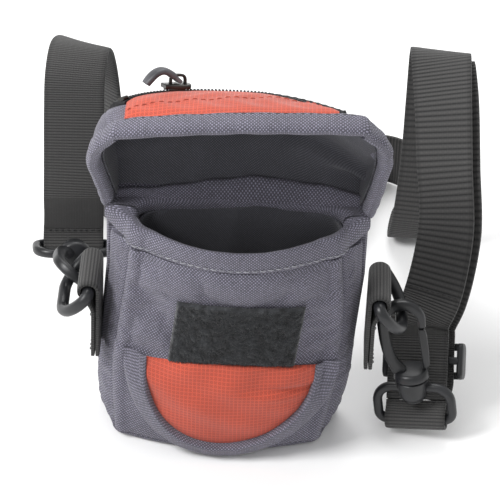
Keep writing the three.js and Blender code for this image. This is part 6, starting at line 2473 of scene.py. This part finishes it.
    def return_layer(self) -> Piece:
        """The layer that comes back from the adjuster and lies behind the right free length."""
        s = self.sizes
        start = self.STARTS[Side.RIGHT]
        _, back = self.offsets()
        leave = s.adjuster_along + s.adjuster_length / 2 + s.straight
        route = self.ROUTES[Side.RIGHT]
        straight = (s.tail + 5.3, s.adjuster_along, leave - s.ease, leave)
        places = [
            start.at(s.tail + s.gap, -s.layer - s.gap), start.at(s.tail + 1, -s.layer - s.gap),
            start.at(s.tail + 3.2, (back - s.layer) / 2, s.shift / 2),
            *[start.at(run, back, s.shift) for run in straight],
        ]
        widths = [np.array(start.across)] * len(places)
        behind = (back - s.layer) * 0.8
        for index in range(6):
            before, after = np.array(route[max(index - 1, 0)][0]), np.array(route[index + 1][0])
            across = unit(np.array(route[index][1], float))
            face = unit(np.cross(across, unit(after - before)))
            places.append(np.array(route[index][0]) + face * behind + across * s.shift)
            widths.append(across)
        centres, across = (smooth_route(np.array(knots), 160) for knots in (places, widths))
        piece = self.ribbon("strap_return", centres, across)
        return settle(piece, Body.POUCH, STRAP_WEBBING, "strap_return")

    def sewn_loop(self, side: Side) -> Piece:
        """The webbing's end, folded round the swivel loop's bar and sewn to itself.

        Args:
            side: the hook's side.

        Returns:
            The piece.
        """
        s = self.sizes
        start = self.STARTS[side]
        wrap = HookSizes.loop_rod + s.gap + s.thickness / 2
        edge = [(s.tail, s.layer), (s.taper, s.layer), (4.4, 1.2)]
        arc = arc_points((0, 0), wrap, (290, 70), 26)
        flat = np.array([*[(run, -off) for run, off in edge], *arc, *edge[::-1]])
        line = evenly(smooth_route(flat, 160), 90)
        path = np.array([start.at(run, off) for run, off in line])
        name = f"{side.label}_sewn_loop"
        return settle(self.ribbon(name, path, np.array(start.across)), Body.POUCH, STRAP_WEBBING, name)

    def tri_glide(self) -> Piece:
        """The adjuster: two rails, a middle bar and two outer bars behind the webbing."""
        s = self.sizes
        start = self.STARTS[Side.RIGHT]
        front, back = self.offsets()
        rear = back - s.thickness / 2 - s.glide_clear
        deep = rear - s.bar_depth
        half = s.adjuster_length / 2
        rail = s.width / 2 + s.rail_clear + s.rail_half
        origin = start.at(s.adjuster_along, 0.0, s.shift)
        place = Place(tuple(origin), start.along, start.face, start.across)

        def section(t: float) -> np.ndarray:
            """A rail's section, drawn in at its round ends."""
            end = 1 - abs(2 * t - 1) ** 8 * 0.35
            return ellipse(s.rail_half * end, (front - deep) / 2 * end, 20, 4.0)

        others = []
        along = np.linspace(-half + 0.1, half - 0.1, 24)
        for across in (-rail, rail):
            path = np.stack([along, np.full(24, (front + deep) / 2), np.full(24, across)], 1)
            rings = sweep(path, Z_AXIS, section)
            others.append(rod_piece("rail", place.put(rings), BLACK_PLASTIC))
        behind, end = (rear + deep) / 2, half - s.bar_half
        for x, y in ((0.0, front - s.bar_depth / 2), (-end, behind), (end, behind)):
            path = np.array([[x, y, z] for z in np.linspace(-rail, rail, 8)])
            rings = sweep(path, X_AXIS, ellipse(s.bar_half, 1.08, 18, 3.0))
            others.append(rod_piece("bar", place.put(rings), BLACK_PLASTIC))
        piece = join_into(others[0], others[1:])
        piece.name = piece.data.name = "tri_glide"
        return settle(piece, Body.ADJUSTER, BLACK_PLASTIC, "tri_glide")

    def cross_stitches(self, right: np.ndarray) -> Piece:
        """Rows of stitches across the webbing: at both sewn ends and above the adjuster.

        Args:
            right: the right free length: its centreline and the directions of its width.

        Returns:
            The stitches, in one piece.
        """
        s = self.sizes
        lines, lifts = [], []
        shares = np.linspace(-0.4, 0.4, 12)[:, None] * s.width
        for side in Side:
            start = self.STARTS[side]
            middle = start.at(s.tail - 0.4, s.layer + s.thickness / 2 + 0.1)
            lines.append(middle + shares * np.array(start.across))
            lifts.append(np.tile(start.face, (12, 1)))
        k = int(np.searchsorted(walked(right[:, :3]), self.ROW_ALONG))
        along = unit(right[k + 1, :3] - right[k - 1, :3])
        across = unit(right[k, 3:] - along * np.dot(right[k, 3:], along))
        face = np.cross(across, along)
        lines.append(right[k, :3] + face * (s.thickness / 2 + 0.1) + shares * across)
        lifts.append(np.tile(face, (12, 1)))
        return self.stitches.row("strap_stitches", lines, lifts, DARK_THREAD, 2.0)


class BeltLoop:
    """The broad loop on the rear panel, sewn at its top and foot."""

    HALF, BOTTOM, HEIGHT, CLEAR, THICK = 19.0, 14.0, 46.0, 5.5, 2.0

    def __init__(self, shape: BodyShape, stitches: Needle) -> None:
        """Keeps the body's outline and the stitcher."""
        self.shape, self.stitches = shape, stitches

    def build(self) -> None:
        """Builds the loop and its stitches."""
        top = self.BOTTOM + self.HEIGHT
        half = self.THICK / 2 + 0.3
        far = self.shape.belly_rear_y + self.CLEAR + self.THICK / 2

        def face(z: float) -> float:
            """Y of the loop's middle where it lies on the panel."""
            body = self.shape
            y = body.grown(np.array(z), body.base_rear_y, body.belly_rear_y, body.rim_rear_y)
            return float(y) + half + 0.1

        foot = self.BOTTOM
        knots = np.array([
            (face(foot), foot), (face(foot + 5), foot + 5.0), (far - 2.4, foot + 8.4), (far, foot + 12.5),
            (far, (foot + top) / 2), (far, top - 12.5), (far - 2.8, top - 8.2), (face(top - 5), top - 5.0),
            (face(top), top),
        ])
        line = evenly(smooth_route(knots, 120), 90)
        path = np.stack([0 * line[:, 0], line[:, 0], line[:, 1]], 1)
        rings = sweep(path, X_AXIS, ellipse(self.HALF, self.THICK / 2, 40, 6.0))
        piece = rod_piece("belt_loop", rings, GREY_CLOTH)
        lay_flat(piece, Z_AXIS)
        settle(piece, Body.POUCH, GREY_CLOTH, "belt_loop")
        lines, lifts = [], []
        x = np.linspace(-self.HALF + 1.5, self.HALF - 1.5, 24)
        for z in (foot + 1.5, foot + 4.2, top - 4.2, top - 1.5):
            lines.append(np.stack([x, np.full(24, face(z) + self.THICK / 2 + 0.1), np.full(24, z)], 1))
            lifts.append(np.tile(Y_AXIS, (24, 1)))
        self.stitches.row("belt_loop_stitches", lines, lifts, DARK_THREAD, 2.4)


# Studio


@dataclass(frozen=True)
class Studio:
    """The camera, lights and floor."""

    azimuth: float = 0.5
    elevation: float = 38.0
    roll: float = 2.5
    distance: float = 1.0
    lens: float = 222.98
    sensor: float = 36.0
    world_light: float = 0.62
    floor_half: float = 3.0
    aim: Triple = (0.0048, -0.020, 0.093)

    def camera(self) -> None:
        """Sets the camera at the photograph's viewing angle."""
        a, e, r = (math.radians(v) for v in (self.azimuth, self.elevation, self.roll))
        view = Vector((-math.sin(a) * math.cos(e), math.cos(a) * math.cos(e), -math.sin(e)))
        level = Vector((math.cos(a), math.sin(a), 0.0))
        rise = level.cross(view)
        right = level * math.cos(r) + rise * math.sin(r)
        up = rise * math.cos(r) - level * math.sin(r)
        data = bpy.data.cameras.new("photo_camera")
        data.lens, data.sensor_width = self.lens, self.sensor
        data.clip_start, data.clip_end = 0.05, 20.0
        camera = linked("photo_camera", data)
        matrix = Matrix((right, up, -view)).transposed().to_4x4()
        matrix.translation = Vector(self.aim) - view * self.distance
        camera.matrix_world = matrix
        bpy.context.scene.camera = camera

    def floor(self) -> Piece:
        """A plain pale floor."""
        mesh = bpy.data.meshes.new("floor")
        half = self.floor_half
        corners = [(-half, -half, 0), (half, -half, 0), (half, half, 0), (-half, half, 0)]
        mesh.from_pydata(corners, [], [(0, 1, 2, 3)])
        paper = bpy.data.materials.new("studio_floor")
        paper.use_nodes = True
        shader = paper.node_tree.nodes["Principled BSDF"]
        shader.inputs["Base Color"].default_value = (0.92, 0.92, 0.92, 1)
        shader.inputs["Roughness"].default_value = 0.9
        mesh.materials.append(paper)
        return linked("floor", mesh)

    def light(self, name: str, place: Triple, size: float, watts: float) -> Piece:
        """One soft square light, turned to the pouch.

        Args:
            name: the light's name.
            place: where it stands, in metres.
            size: its side, in metres.
            watts: its power.

        Returns:
            The light.
        """
        data = bpy.data.lights.new(name, "AREA")
        data.size, data.energy = size, watts
        lamp = linked(name, data)
        lamp.location = place
        lamp.rotation_euler = (Vector(self.aim) - Vector(place)).to_track_quat("-Z", "Y").to_euler()
        return lamp

    def build(self) -> None:
        """Builds the floor, the lights and the pale world."""
        world = bpy.data.worlds.new("studio")
        world.use_nodes = True
        background = world.node_tree.nodes["Background"]
        background.inputs["Color"].default_value = (1, 1, 1, 1)
        background.inputs["Strength"].default_value = self.world_light
        bpy.context.scene.world = world
        bpy.context.scene.view_settings.view_transform = "Standard"
        self.floor()
        self.light("key_light", (-0.85, -0.4, 1.05), 0.5, 17.0)
        self.light("fill_light", (0.9, -0.4, 0.9), 0.9, 0.8)
        self.light("rear_light", (0.0, 0.7, 1.1), 0.8, 8.0)


def main() -> None:
    """Builds the studio's camera, the strap, the pouch and its hardware, and then the light."""
    logging.basicConfig(level=logging.INFO, format="%(name)s: %(message)s")
    studio = Studio()
    studio.camera()
    needle = Needle()
    Strap(StrapSizes(), needle).build()
    body = BodyShape()
    PaddedBody(body, needle).build()
    FrontPocket(body, ScatterTree()).build()
    BeltLoop(body, needle).build()
    OpenLid(LidShape(), needle).build()
    ZipSlider().build()
    for side in Side:
        SideTab(side, RingSizes(), needle).build()
        SnapHook(side, HookSizes()).build()
    studio.build()
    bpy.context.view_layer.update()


if __name__ == "__main__":
    main()
